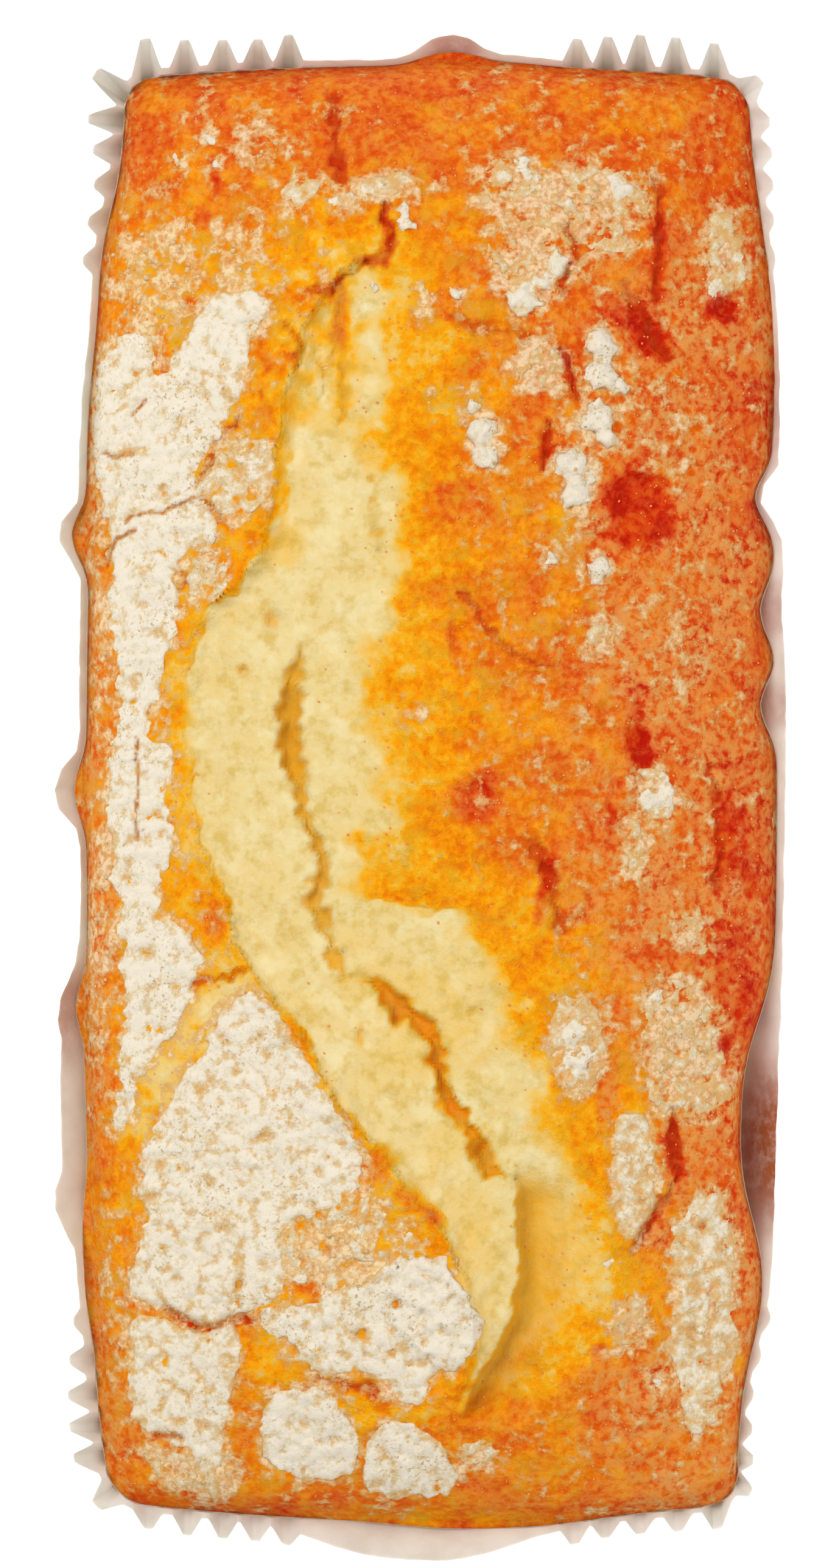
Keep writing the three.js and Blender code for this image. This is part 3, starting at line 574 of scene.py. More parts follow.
# Places that are browner or paler than that: x, y, half sizes, turn, browning and strength.
TINTS = [
    # the gold lip between the left sheets and the tear
    (-24, 35.2, 2.4, 1.7, 0, 0.48, 0.9),
    (-20.2, 32.4, 4, 0.9, 28, 0.38, 0.8),
    (-26, 27.6, 4, 1.2, 45, 0.4, 0.8),
    (-30, 22.6, 1.5, 4, 0, 0.38, 0.9),
    (-31.5, 15, 1.6, 6, 8, 0.38, 0.9),
    (-33.2, 9, 2.2, 3, 0, 0.38, 0.9),
    (-31.4, 1, 1.6, 7, 0, 0.32, 0.9),
    (-30.6, -6, 2, 5, -10, 0.34, 0.9),
    (-31.4, -12, 2, 4, 0, 0.36, 0.7),
    (-26.9, -17, 2, 3.4, -10, 0.58, 0.95),
    (-25.6, -21.6, 3, 1.8, 0, 0.34, 0.8),
    # the thin pale skin between the two big sheets at the near left
    (-25.5, -26, 5, 3, 20, 0.2, 0.95),
    (-29, -30.4, 4.5, 4, 35, 0.2, 0.95),
    (-33, -37.4, 3.6, 5, 25, 0.22, 0.95),
    (-36.2, -44.4, 2.6, 4, 15, 0.27, 0.9),
    (-28, -31.6, 0.9, 4, 40, 0.4, 0.6),
    # gold and ochre down the near left wall
    (-38, -50, 2, 6, 0, 0.5, 0.85),
    (-38.6, -62, 2.4, 8, 0, 0.54, 0.8),
    (-39.6, -76, 1.8, 8, 0, 0.6, 0.8),
    (-37.6, -88, 4, 3, 0, 0.62, 0.8),
    # gold and orange along the near edge of the tear
    (-18.3, -28.4, 0.9, 4, 42, 0.42, 0.9),
    (-15.1, -33, 0.9, 3.6, 28, 0.4, 0.9),
    (-12.4, -38, 0.9, 3.6, 25, 0.36, 0.8),
    (-5.5, -48, 2.6, 3, -30, 0.62, 0.9),
    (-1.5, -52, 2.8, 1.8, -45, 0.68, 0.9),
    (2, -55.4, 3, 1.1, -45, 0.66, 0.85),
    (-10.6, -44, 0.9, 3, 30, 0.36, 0.7),
    (-9.6, -59.4, 5, 1, 12, 0.56, 0.7),
    (-15, -64.8, 3.4, 1.4, 0, 0.66, 0.8),
    # the near left end is ochre, with redder patches
    (-22, -88, 14, 4, 0, 0.46, 0.8),
    (-22.2, -69.6, 1.6, 2.6, 0, 0.66, 0.9),
    (-18.6, -74.6, 4, 3.4, 0, 0.36, 0.9),
    (-23, -82, 2, 7, 0, 0.6, 0.85),
    (-9, -81, 4, 2.6, 0, 0.4, 0.85),
    (-1, -81, 4, 1.6, 0, 0.4, 0.8),
    (-28, -69.5, 5, 0.7, -12, 0.7, 0.8),
    (-33, -84.2, 2.4, 0.8, 0, 0.62, 0.9),
    (-7.6, -88.5, 0.9, 4, 0, 0.58, 0.7),
    (0, -95, 16, 1.6, 0, 0.5, 0.8),
    # the lower lobe of crumb is a deeper yellow, and beyond the step it is shaded gold
    (2, -30, 10, 9, 20, 0.24, 0.75),
    (-8, -22, 5, 5, 20, 0.24, 0.6),
    (5, -46, 8, 7, 0, 0.2, 0.6),
    (7.6, -62, 4, 12, 0, 0.22, 0.8),
    (5, -70, 4, 5, 0, 0.27, 0.8),
    (20, -62, 6, 10, 0, 0.28, 0.9),
    (17, -74, 4, 4, 0, 0.4, 0.7),
    (23, -71, 4, 3, 0, 0.44, 0.6),
    (28, -67, 3, 5, 0, 0.5, 0.6),
    (24.6, -73.4, 1.4, 1, 0, 0.74, 0.6),
    # gold on the right of the tear
    (-3, 46.8, 4, 2.2, 0, 0.42, 0.95),
    (3.5, 50, 6, 8, 0, 0.46, 0.9),
    (9, 58, 6, 6, 0, 0.5, 0.7),
    (0.8, 38, 3, 5, 0, 0.45, 0.9),
    (3, 26, 4, 8, 0, 0.5, 0.7),
    (-1.4, 16, 2.6, 4, 0, 0.42, 0.9),
    (-0.8, 4, 2.2, 8, 0, 0.42, 0.9),
    (-4.8, -9.6, 3, 3.6, 0, 0.41, 0.95),
    (1, -8, 4, 4, 0, 0.47, 0.8),
    (15, 20, 6, 5, 0, 0.56, 0.6),
    (12, 4, 6, 8, 0, 0.56, 0.6),
    (9, -16, 3, 3, 0, 0.52, 0.8),
    (13.4, -22, 2, 4, 20, 0.44, 0.9),
    (17.6, -28, 2.2, 4, 30, 0.47, 0.9),
    (20, -40, 2, 6, 10, 0.46, 0.8),
    (24.5, -38, 1.6, 8, 0, 0.6, 0.8),
    (28, -62, 2.2, 3.6, 0, 0.48, 0.8),
    (19, 37, 3, 5, 0, 0.44, 0.6),
    (21, 50, 1.6, 4, 0, 0.5, 0.6),
    (25, 68, 4, 3, 0, 0.56, 0.7),
    (3, 76, 5, 3, 0, 0.56, 0.7),
    (8, 68, 5, 4, 0, 0.6, 0.6),
    (6, 38, 5, 4, 20, 0.64, 0.8),
    (12, 33, 5, 4, 0, 0.62, 0.8),
    (10, 58, 6, 3, 10, 0.62, 0.7),
    (5, 24, 4, 5, 0, 0.56, 0.8),
    (14, 12, 6, 7, 0, 0.62, 0.7),
    (6, 10, 4, 4, 0, 0.52, 0.7),
    (20, 27, 4, 6, 0, 0.48, 0.7),
    (25, 10, 3, 10, 0, 0.5, 0.5),
    (-26, 79, 9, 8, 0, 0.62, 0.8),
    (-36, 84, 4, 6, 0, 0.72, 0.8),
    # the mottled head of the tear
    (-11.9, 72.8, 3, 2.8, 0, 0.38, 0.95),
    (-15.1, 65.6, 4.8, 2.2, 0, 0.56, 0.9),
    (-19.5, 59.2, 1.8, 4, 0, 0.55, 0.9),
    (-20.3, 51.4, 1, 4, 0, 0.6, 0.9),
    (-13.5, 60, 3.2, 3, 0, 0.33, 0.9),
    (-13, 57, 6, 10, 0, 0.34, 0.9),
    (-17.6, 54, 2, 9, 0, 0.44, 0.8),
    (-10.3, 62.8, 1.1, 4.2, 8, 0.58, 0.9),
    (-6.2, 58, 1.9, 8, 0, 0.21, 0.85),
    (-3, 58, 1.4, 8, 0, 0.34, 0.8),
    (-13.1, 51.6, 3.2, 3.4, 0, 0.24, 0.8),
    (-17.6, 33, 4, 3, 30, 0.3, 0.7),
    (-18, 41, 1, 6, 0, 0.42, 0.85),
    (-1.1, 56.6, 2, 3.6, 0, 0.44, 0.8),
    (-6.6, 76, 2.4, 3, 0, 0.5, 0.8),
    (-4.3, 74, 0.8, 3, 0, 0.84, 0.8),
    (-6, 70.5, 2.6, 0.8, 0, 0.78, 0.8),
    (-11.2, 67.2, 2.6, 0.8, 35, 0.7, 0.8),
    (-19, 81, 5, 3, 0, 0.58, 0.7),
    # redder and burnt patches
    (29.2, 39.4, 4.4, 5, -20, 0.98, 1),
    (31, 35.4, 4, 2.4, 0, 0.94, 1),
    (26.2, 34.4, 3.2, 2, 0, 0.9, 0.9),
    (30, 60.6, 3.2, 4, 30, 0.97, 1),
    (26.4, 64, 3.4, 2, -20, 0.9, 0.9),
    (31.6, 68, 2.2, 5, 0, 0.84, 0.8),
    (39.3, 64.2, 2.2, 2.8, 0, 0.98, 1),
    (31.8, 73, 1.5, 2.6, 0, 0.9, 0.9),
    (31, 69, 1.4, 3, 0, 0.84, 0.7),
    (28.8, 6.8, 2.4, 5, 0, 0.92, 0.95),
    (28.8, 13.4, 2.4, 3, 0, 0.86, 0.8),
    (25, -2, 1, 3.4, 0, 0.9, 0.9),
    (7.6, -0.4, 4, 3.8, 0, 0.84, 0.95),
    (13, -2.4, 2.6, 1.4, -30, 0.72, 0.6),
    (4.6, 21.2, 1, 3.6, 10, 0.78, 0.8),
    (7.8, 37.6, 3, 2.4, 0, 0.74, 0.7),
    (4.4, 40.6, 3.6, 1.2, 20, 0.7, 0.6),
    (4, 64.6, 2.2, 2.6, 0, 0.78, 0.6),
    (16.3, 45.6, 0.8, 3.2, 0, 0.86, 0.8),
    (19.6, 55.6, 0.8, 3, 20, 0.86, 0.8),
    (20.2, 71.4, 0.8, 3.6, -10, 0.82, 0.7),
    (16.8, -11.6, 1.2, 5, -14, 0.92, 0.9),
    (20.6, -15.6, 2, 1.6, 0, 0.8, 0.6),
    (40.6, -5.6, 2, 5.6, 0, 0.92, 0.8),
    (42.6, -16, 4.4, 18, 0, 0.86, 0.9),
    (40.1, -34, 1.1, 3.4, 6, 0.93, 0.9),
    (33.7, -47.6, 1.8, 5.4, 0, 0.92, 0.95),
    (30.6, -56, 2.4, 4, 25, 0.84, 0.8),
    (27, -80, 9, 6, 0, 0.72, 0.8),
    (-33.1, 86.4, 1.4, 1.4, 0, 0.9, 0.9),
    (-27.1, 81.6, 1.2, 3, 0, 0.9, 0.9),
    (-27.9, 76, 1.4, 2.4, 0, 0.84, 0.8),
    (-29.5, 64.8, 2, 1.5, 0, 0.8, 0.8),
    (-11.5, 88, 1.1, 4, 0, 0.84, 0.8),
    (4, 93.6, 10, 1.4, 0, 0.84, 0.7),
    (-33.2, 58, 1.2, 3, 0, 0.72, 0.8),
    (24.2, -73.4, 1.4, 1.4, 0, 0.84, 0.7),
    (31.3, -75.4, 1.6, 1.4, 0, 0.82, 0.7),
    (20, -84, 9, 4, 0, 0.62, 0.6),
    (33.6, -90, 3, 2, 0, 0.78, 0.7),
    (44, 50, 1.4, 14, 0, 0.86, 0.7),
    (44.6, 20, 1.4, 16, 0, 0.84, 0.6),
    (43.6, 62.8, 1.2, 2.8, 0, 0.5, 0.6),
    (41.8, -74, 1.6, 3.4, 0, 0.34, 0.7),
]

tint_x, tint_y = ragged(top_x, top_y, *TINT_UNEVEN)
tear_left, tear_right, tear_open = tear_at(tint_y)
edge_places, edge_turns = zip(*reversed(CRUMB_EDGE))
crumb_right = np.interp(tint_y, edge_places, edge_turns)
crumb_right += CRUMB_WANDER * roughness(top_x, top_y, 6, 4, 115)
crumb_share = smooth(tint_x, tear_left - 0.5, tear_left + 0.9) * tear_open
crumb_share = crumb_share * (1 - smooth(tint_x, crumb_right - CRUMB_FADE, crumb_right + CRUMB_FADE))
from_tear = tint_x - tear_right
right_crust = GOLD + (RIGHT_CRUST - GOLD) * smooth(from_tear, 2, 26)
browning = np.where(tint_x > tear_left, right_crust, LEFT_CRUST)
steep = smooth(tint_x, 33, 41) * (1 - smooth(-tint_y, 60, 84) * 0.7)
for tone, share in [
    (FAR_CRUST, smooth(tint_y, 72, 84)),
    (NEAR_CRUST, smooth(-tint_y, 72, 82)),
    (WALL_CRUST, np.maximum(steep, 0.5 * smooth(edge, 0.95, 1))),
    (LEFT_WALL_CRUST, smooth(-tint_x, 37, 43)),
    (CRUMB, crumb_share),
]:
    browning += (tone - browning) * share
for *oval, tone, strength in TINTS:
    browning += (tone - browning) * (strength * blob(tint_x, tint_y, *oval))

# The head of the tear is mottled, and the knobbly skin is painted with light and shade: its valleys are
# browner than its knobs.
head = blob(top_x, top_y, *HEAD)
browning += HEAD_MOTTLE * head * roughness(top_x, top_y, 3.4, 3, 119)
patches = BY_PATCHES * roughness(top_x, top_y, 6, 2, 121)
browning += (patches - VALLEY_SHADE_KNOB_LIGHT * crinkles(top_x, top_y)) * (1 - crumb_share)

# Painted shade: beyond the step the crumb is darkened as shade, and the crack, the creases and the crumb's
# hollows get a painted fold shade. The creases are browner as well.
step_away, _, step_left = nearest_on(STEP, *ragged(top_x, top_y, *STEP_UNEVEN))
step_fade = smooth(top_y, STEP[-1][1] - 1, STEP[-1][1] + 3)
step_fade = step_fade * (1 - smooth(top_y, STEP[0][1] - 2, STEP[0][1] + 2))
shaded = step_left * (1 - smooth(step_away, 0.6, 8)) * step_fade
browning += (SHADED_CRUMB - browning) * 0.9 * shaded
crack_x, crack_y = ragged(top_x, top_y, *CRACK_UNEVEN)
crack_away, crack_place, _ = nearest_on(CRACK, crack_x, crack_y)
crack_half, crack_depth = along_line(CRACK, crack_place, 2), along_line(CRACK, crack_place, 3)
in_crack = 1 - smooth(crack_away, 0.4 * crack_half, 1.2 * crack_half + 0.3)
in_crack = in_crack * smooth(crack_depth, 0.3, 1.4)
low_crack = smooth(-top_y, 18, 28)
# Painted shade: the crack's crumb is browner the deeper the crack is.
crack_tone = CRACK_CRUMB + SHADE_BY_DEPTH * crack_depth + AT_LOW_END * low_crack
browning += (crack_tone - browning) * in_crack
fold_shade = np.maximum(in_crack * (1 - 0.5 * low_crack), shaded)
for half, _, browner, line in CREASES:
    crease_away, _, _ = nearest_on(line, crack_x, crack_y)
    in_crease = 1 - smooth(crease_away, 0.2, 1.2 * half)
    browning += browner * (1 - 0.7 * crumb_share) * in_crease
    fold_shade = np.maximum(fold_shade, 0.7 * in_crease)
for *oval, _ in HOLLOWS:
    in_crumb = crumb_share * blob(tint_x, tint_y, *oval)
    browning += (SHADED_HOLLOW_CRUMB - browning) * 0.7 * in_crumb
    fold_shade = np.maximum(fold_shade, 0.5 * in_crumb)
browning += (SIDE_CRUST - browning) * (ring_below > 1)
browning = np.clip(browning, 0, 1)

# Where fine pale streusel dusts the crust: x, y, half sizes, turn and how thickly.
DUSTINGS = [
    (-34.6, 68.6, 9, 11, 0, 0.6),
    (-24, 71, 7, 7, 0, 0.56),
    (-21.2, 86, 6, 6, 0, 0.52),
    (-12, 66, 5, 5, 0, 0.4),
    (-9, 89, 4, 4, 0, 0.36),
    (-4, 80, 10, 3, 0, 0.44),
    (18, 78, 15, 7, 0, 0.42),
    (15, 70, 8, 8, 0, 0.44),
    (0.5, 64.4, 3.8, 4.6, 0, 0.52),
    (1.7, 51.6, 1.8, 2.2, 0, 0.5),
    (-1.5, 11, 3.4, 3.2, 0, 0.46),
    (16, 57, 5, 5, 0, 0.52),
    (21, 42, 5, 18, 0, 0.46),
    (8, 47, 4, 5, 0, 0.45),
    (23.3, 20.8, 2.4, 3, 0, 0.46),
    (40, 71, 3, 7, 0, 0.5),
    (-42.4, 20, 2.6, 24, 0, 0.5),
    (-42.4, -20, 2.8, 28, 0, 0.52),
    (-42.4, 50, 2, 12, 0, 0.44),
    (-40, -68, 3, 22, 0, 0.42),
    (-33, 61, 5, 2, 20, 0.36),
    (-11, -60, 10, 6, 0, 0.56),
    (-29, -89, 8, 4, 0, 0.56),
    (-14, -77, 14, 2, 0, 0.38),
    (20.5, -33, 5, 8, 0, 0.54),
    (34.8, -33, 7, 10, 0, 0.54),
    (28, -50, 4, 9, 0, 0.46),
    (37.5, -66, 6, 18, 0, 0.5),
    (28, -69, 4, 4, 0, 0.46),
    (31, 0, 4, 5, 0, 0.44),
    (28.4, -8, 2, 6, 0, 0.44),
    (32, -18, 8, 5, 0, 0.38),
    (33, 20, 8, 16, 0, 0.38),
    (33, 48, 8, 12, 0, 0.4),
    (37, -5, 6, 12, 0, 0.34),
    (10, -58, 4, 8, 0, 0.3),
    (8, -88, 6, 3, 0, 0.4),
]
LIGHT_DUST = 0.26
SIDE_DUST = 0.5
FLAKE_VARIATION = 0.3
FLAKE_HEIGHT = 0.3
dusting = LIGHT_DUST * (1 - crumb_share) * smooth(np.abs(from_tear), 0, 12)
for *oval, thickness in DUSTINGS:
    dusting = np.maximum(dusting, thickness * blob(tint_x, tint_y, *oval))
dusting = np.maximum(dusting, SIDE_DUST * (ring_below > 1))

# Fine streusel has settled in flakes: over 0.5 is under a flake.
flakes = FLAKE_VARIATION * roughness(top_x, top_y, 2.6, 3, 95) + dusting
lift = FLAKE_HEIGHT * smooth(flakes, 0.42, 0.6) * inland * on_top
place_corners(loaf, np.stack([top_x, top_y, height + lift], -1))
paint(loaf, "browning", browning)
paint(loaf, "crumb", crumb_share)
paint(loaf, "flakes", flakes - 0.5 * crumb_share)
paint(loaf, "fold_shade", fold_shade)

# The crust is grittiest on the right flank and down the left wall.
gritty = np.maximum(smooth(top_x, 16, 30) * (1 - smooth(top_y, 62, 78)), smooth(-top_x, 36, 42))
paint(loaf, "grit", 0.3 + 0.7 * gritty)


def colour(red, green, blue):
    """A colour as a screen shows it, 0 to 255, as the linear one that a material takes."""
    shown = np.array([red, green, blue]) / 255
    linear = np.where(shown < 0.04045, shown / 12.92, ((shown + 0.055) / 1.055) ** 2.4)
    return (*linear, 1)


class Finish:
    """A material's nodes, each made with its settings and the values or wires of its inputs."""

    def __init__(self, name):
        self.material = bpy.data.materials.new(name)
        self.material.use_nodes = True
        self.tree = self.material.node_tree
        self.tree.nodes.clear()
        self.place = self.add("ShaderNodeTexCoord").outputs["Object"]

    def add(self, kind, wires=None, **settings):
        """A node; what goes into each of its sockets is a number, a colour or another's output."""
        node = self.tree.nodes.new(kind)
        for setting, value in settings.items():
            setattr(node, setting, value)
        for socket, value in (wires or {}).items():
            if isinstance(value, bpy.types.NodeSocket):
                self.tree.links.new(value, node.inputs[socket])
            else:
                node.inputs[socket].default_value = value
        return node

    def painted(self, attribute):
        return self.add("ShaderNodeAttribute", attribute_name=attribute).outputs["Fac"]

    def noise(self, size, detail=3, roughness=0.6, curl=0):
        """Noise from 0 to 1 with features of a size in millimetres."""
        wires = {"Vector": self.place, "Scale": 1 / (size * MM), "Detail": detail}
        wires.update({"Roughness": roughness, "Distortion": curl})
        return self.add("ShaderNodeTexNoise", wires).outputs["Fac"]

    def maths(self, operation, first, second, clamp=False):
        wires = {0: first, 1: second}
        return self.add("ShaderNodeMath", wires, operation=operation, use_clamp=clamp).outputs[0]

    def plus(self, first, second, clamp=False):
        return self.maths("ADD", first, second, clamp)

    def times(self, first, second):
        return self.maths("MULTIPLY", first, second)

    def spread(self, value, from_low, from_high, to_low=0.0, to_high=1.0):
        """A value moved softly from one range to another and kept in it."""
        wires = {0: value, 1: from_low, 2: from_high, 3: to_low, 4: to_high}
        return self.add("ShaderNodeMapRange", wires, interpolation_type="SMOOTHSTEP").outputs[0]

    def blend(self, share, under, over):
        """One colour over another; a mix node has its colours in sockets 6, 7 and 2."""
        wires = {0: share, 6: under, 7: over}
        return self.add("ShaderNodeMix", wires, data_type="RGBA").outputs[2]

    def ramp(self, value, stops):
        """The colour of a value on a scale of places and colours."""
        node = self.add("ShaderNodeValToRGB", {"Fac": value})
        scale = node.color_ramp.elements
        while len(scale) < len(stops):
            scale.new(0.5)
        for stop, (place, shown) in zip(scale, stops):
            stop.position = place
            stop.color = shown
        return node.outputs["Color"]

    def surface(self, base, height, depth, through=0, **values):
        """The shader itself, with a bump of a depth in millimetres, and a share of light let through."""
        bump = self.add("ShaderNodeBump", {"Height": height, "Distance": depth * MM, "Strength": 1.0})
        wires = {"Base Color": base, "Normal": bump.outputs[0]}
        wires.update({name.replace("_", " "): value for name, value in values.items()})
        shader = self.add("ShaderNodeBsdfPrincipled", wires)
        if through:
            glow = self.add("ShaderNodeBsdfTranslucent", {"Color": base})
            shader = self.add("ShaderNodeMixShader", {0: through, 1: shader.outputs[0], 2: glow.outputs[0]})
        self.add("ShaderNodeOutputMaterial", {"Surface": shader.outputs[0]})
        return self.material


BAKED_COLOURS = [
    (0, colour(236, 224, 182)),
    (0.14, colour(226, 202, 138)),
    (0.24, colour(231, 192, 104)),
    (0.36, colour(238, 172, 26)),
    (0.46, colour(242, 152, 0)),
    (0.58, colour(230, 124, 0)),
    (0.7, colour(222, 94, 4)),
    (0.82, colour(212, 70, 8)),
    (0.9, colour(206, 44, 2)),
    (1, colour(184, 22, 0)),
]
GRIT_TAN = colour(226, 150, 76)
DUST_CREAM = colour(238, 218, 178)
DUST_TAN = colour(222, 174, 112)
DUST_BROWN = colour(196, 132, 60)
DUST_SHADE = colour(204, 150, 84)
PALE_CRUMB = colour(236, 222, 172)
OLIVE_CRUMB = colour(204, 168, 66)
OLIVE_GOLD = colour(214, 156, 28)
# Painted shade colours for the creases and for the crack.
CREASE_SHADE_BROWN = colour(184, 62, 10)
CRACK_SHADE_OLIVE = colour(216, 160, 44)

# The painted browning is broken up by the skin's fine grain, painted with light and shade: the grains are
# paler and what lies between them redder, and the dusting clings to the grains. Burnt places stay smooth and
# dark.
crust = Finish("cake_crust")
baked = crust.painted("browning")
crumb = crust.painted("crumb")
grained = crust.noise(1.2, 4, 0.62, curl=0.2)
patchy = crust.noise(5.5, 3, 0.55)
mottled = crust.spread(patchy, 0.3, 0.7, -0.09, 0.09)
grain_light_and_shade = crust.spread(grained, 0.32, 0.68, 0.085, -0.085)
calm = crust.maths("SUBTRACT", 1.0, crust.times(crumb, 0.5))
calm = crust.times(calm, crust.spread(baked, 0.22, 0.4, 0.4, 1))
uneven = crust.times(crust.plus(grain_light_and_shade, mottled), calm)
tone = crust.ramp(crust.plus(baked, uneven, clamp=True), BAKED_COLOURS)

# Olive shades in the crumb and the gold, and tan grit over the browner crust.
olive_patches = crust.spread(crust.noise(2.2, 4, 0.65), 0.44, 0.68, 0, 0.62)
tone = crust.blend(crust.times(olive_patches, crumb), tone, OLIVE_CRUMB)
pale_patches = crust.spread(crust.noise(4.6, 3), 0.48, 0.66, 0, 0.55)
tone = crust.blend(crust.times(pale_patches, crust.spread(baked, 0.26, 0.16)), tone, PALE_CRUMB)
golden = crust.times(crust.spread(baked, 0.34, 0.44), crust.spread(baked, 0.56, 0.68, 1, 0))
olive_gold = crust.spread(crust.noise(3.6, 4, 0.6), 0.48, 0.66, 0, 0.6)
tone = crust.blend(crust.times(olive_gold, golden), tone, OLIVE_GOLD)
not_burnt = crust.spread(baked, 0.74, 0.9, 1, 0.05)
browned = crust.times(crust.spread(baked, 0.46, 0.64), not_burnt)
tan_patches = crust.spread(crust.noise(8, 3), 0.38, 0.6, 0.45, 1)
grit = crust.times(crust.times(crust.painted("grit"), tan_patches), browned)
tone = crust.blend(crust.times(crust.spread(grained, 0.34, 0.6), grit), tone, GRIT_TAN)
# Painted shade in the crack, the creases, the hollows and beyond the step: shade brown on the crust, shade
# olive in the crumb.
fold_shade_tone = crust.blend(crumb, CREASE_SHADE_BROWN, CRACK_SHADE_OLIVE)
tone = crust.blend(crust.times(crust.painted("fold_shade"), 0.66), tone, fold_shade_tone)

# The dusting: cream grains, tan and painted shade between them, and brown where it thins out.
filmy = crust.times(crust.painted("film"), 0.24)
flake = crust.plus(crust.painted("flakes"), filmy)
flake = crust.plus(flake, crust.spread(grained, 0.3, 0.7, -0.2, 0.2))
dusted = crust.spread(flake, 0.3, 0.56)
dust_tone = crust.blend(crust.spread(flake, 0.34, 0.56), DUST_BROWN, DUST_TAN)
dust_tone = crust.blend(crust.spread(flake, 0.5, 0.78), dust_tone, DUST_CREAM)
shade_between_grains = crust.spread(crust.noise(0.8, 3, 0.6), 0.36, 0.56, 0.7, 0)
dust_tone = crust.blend(shade_between_grains, dust_tone, DUST_SHADE)
tone = crust.blend(crust.times(crust.times(dusted, 0.8), not_burnt), tone, dust_tone)
fine_grain = crust.times(crust.noise(0.5, 3), 0.25)
skin = crust.plus(crust.times(grained, calm), fine_grain)
loaf.data.materials.append(crust.surface(tone, skin, depth=0.5, Roughness=0.6, Specular_IOR_Level=0.05))
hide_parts("cake")
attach(loaf, "root")

# ---------------------------------------------------------------------------
# The streusel
# Butter, sugar and flour crumbs that ran together into thin pale sheets as they baked, with
# rounded lumps as big as peas between them at the far right. The sheets feather out at their edges.
# ---------------------------------------------------------------------------

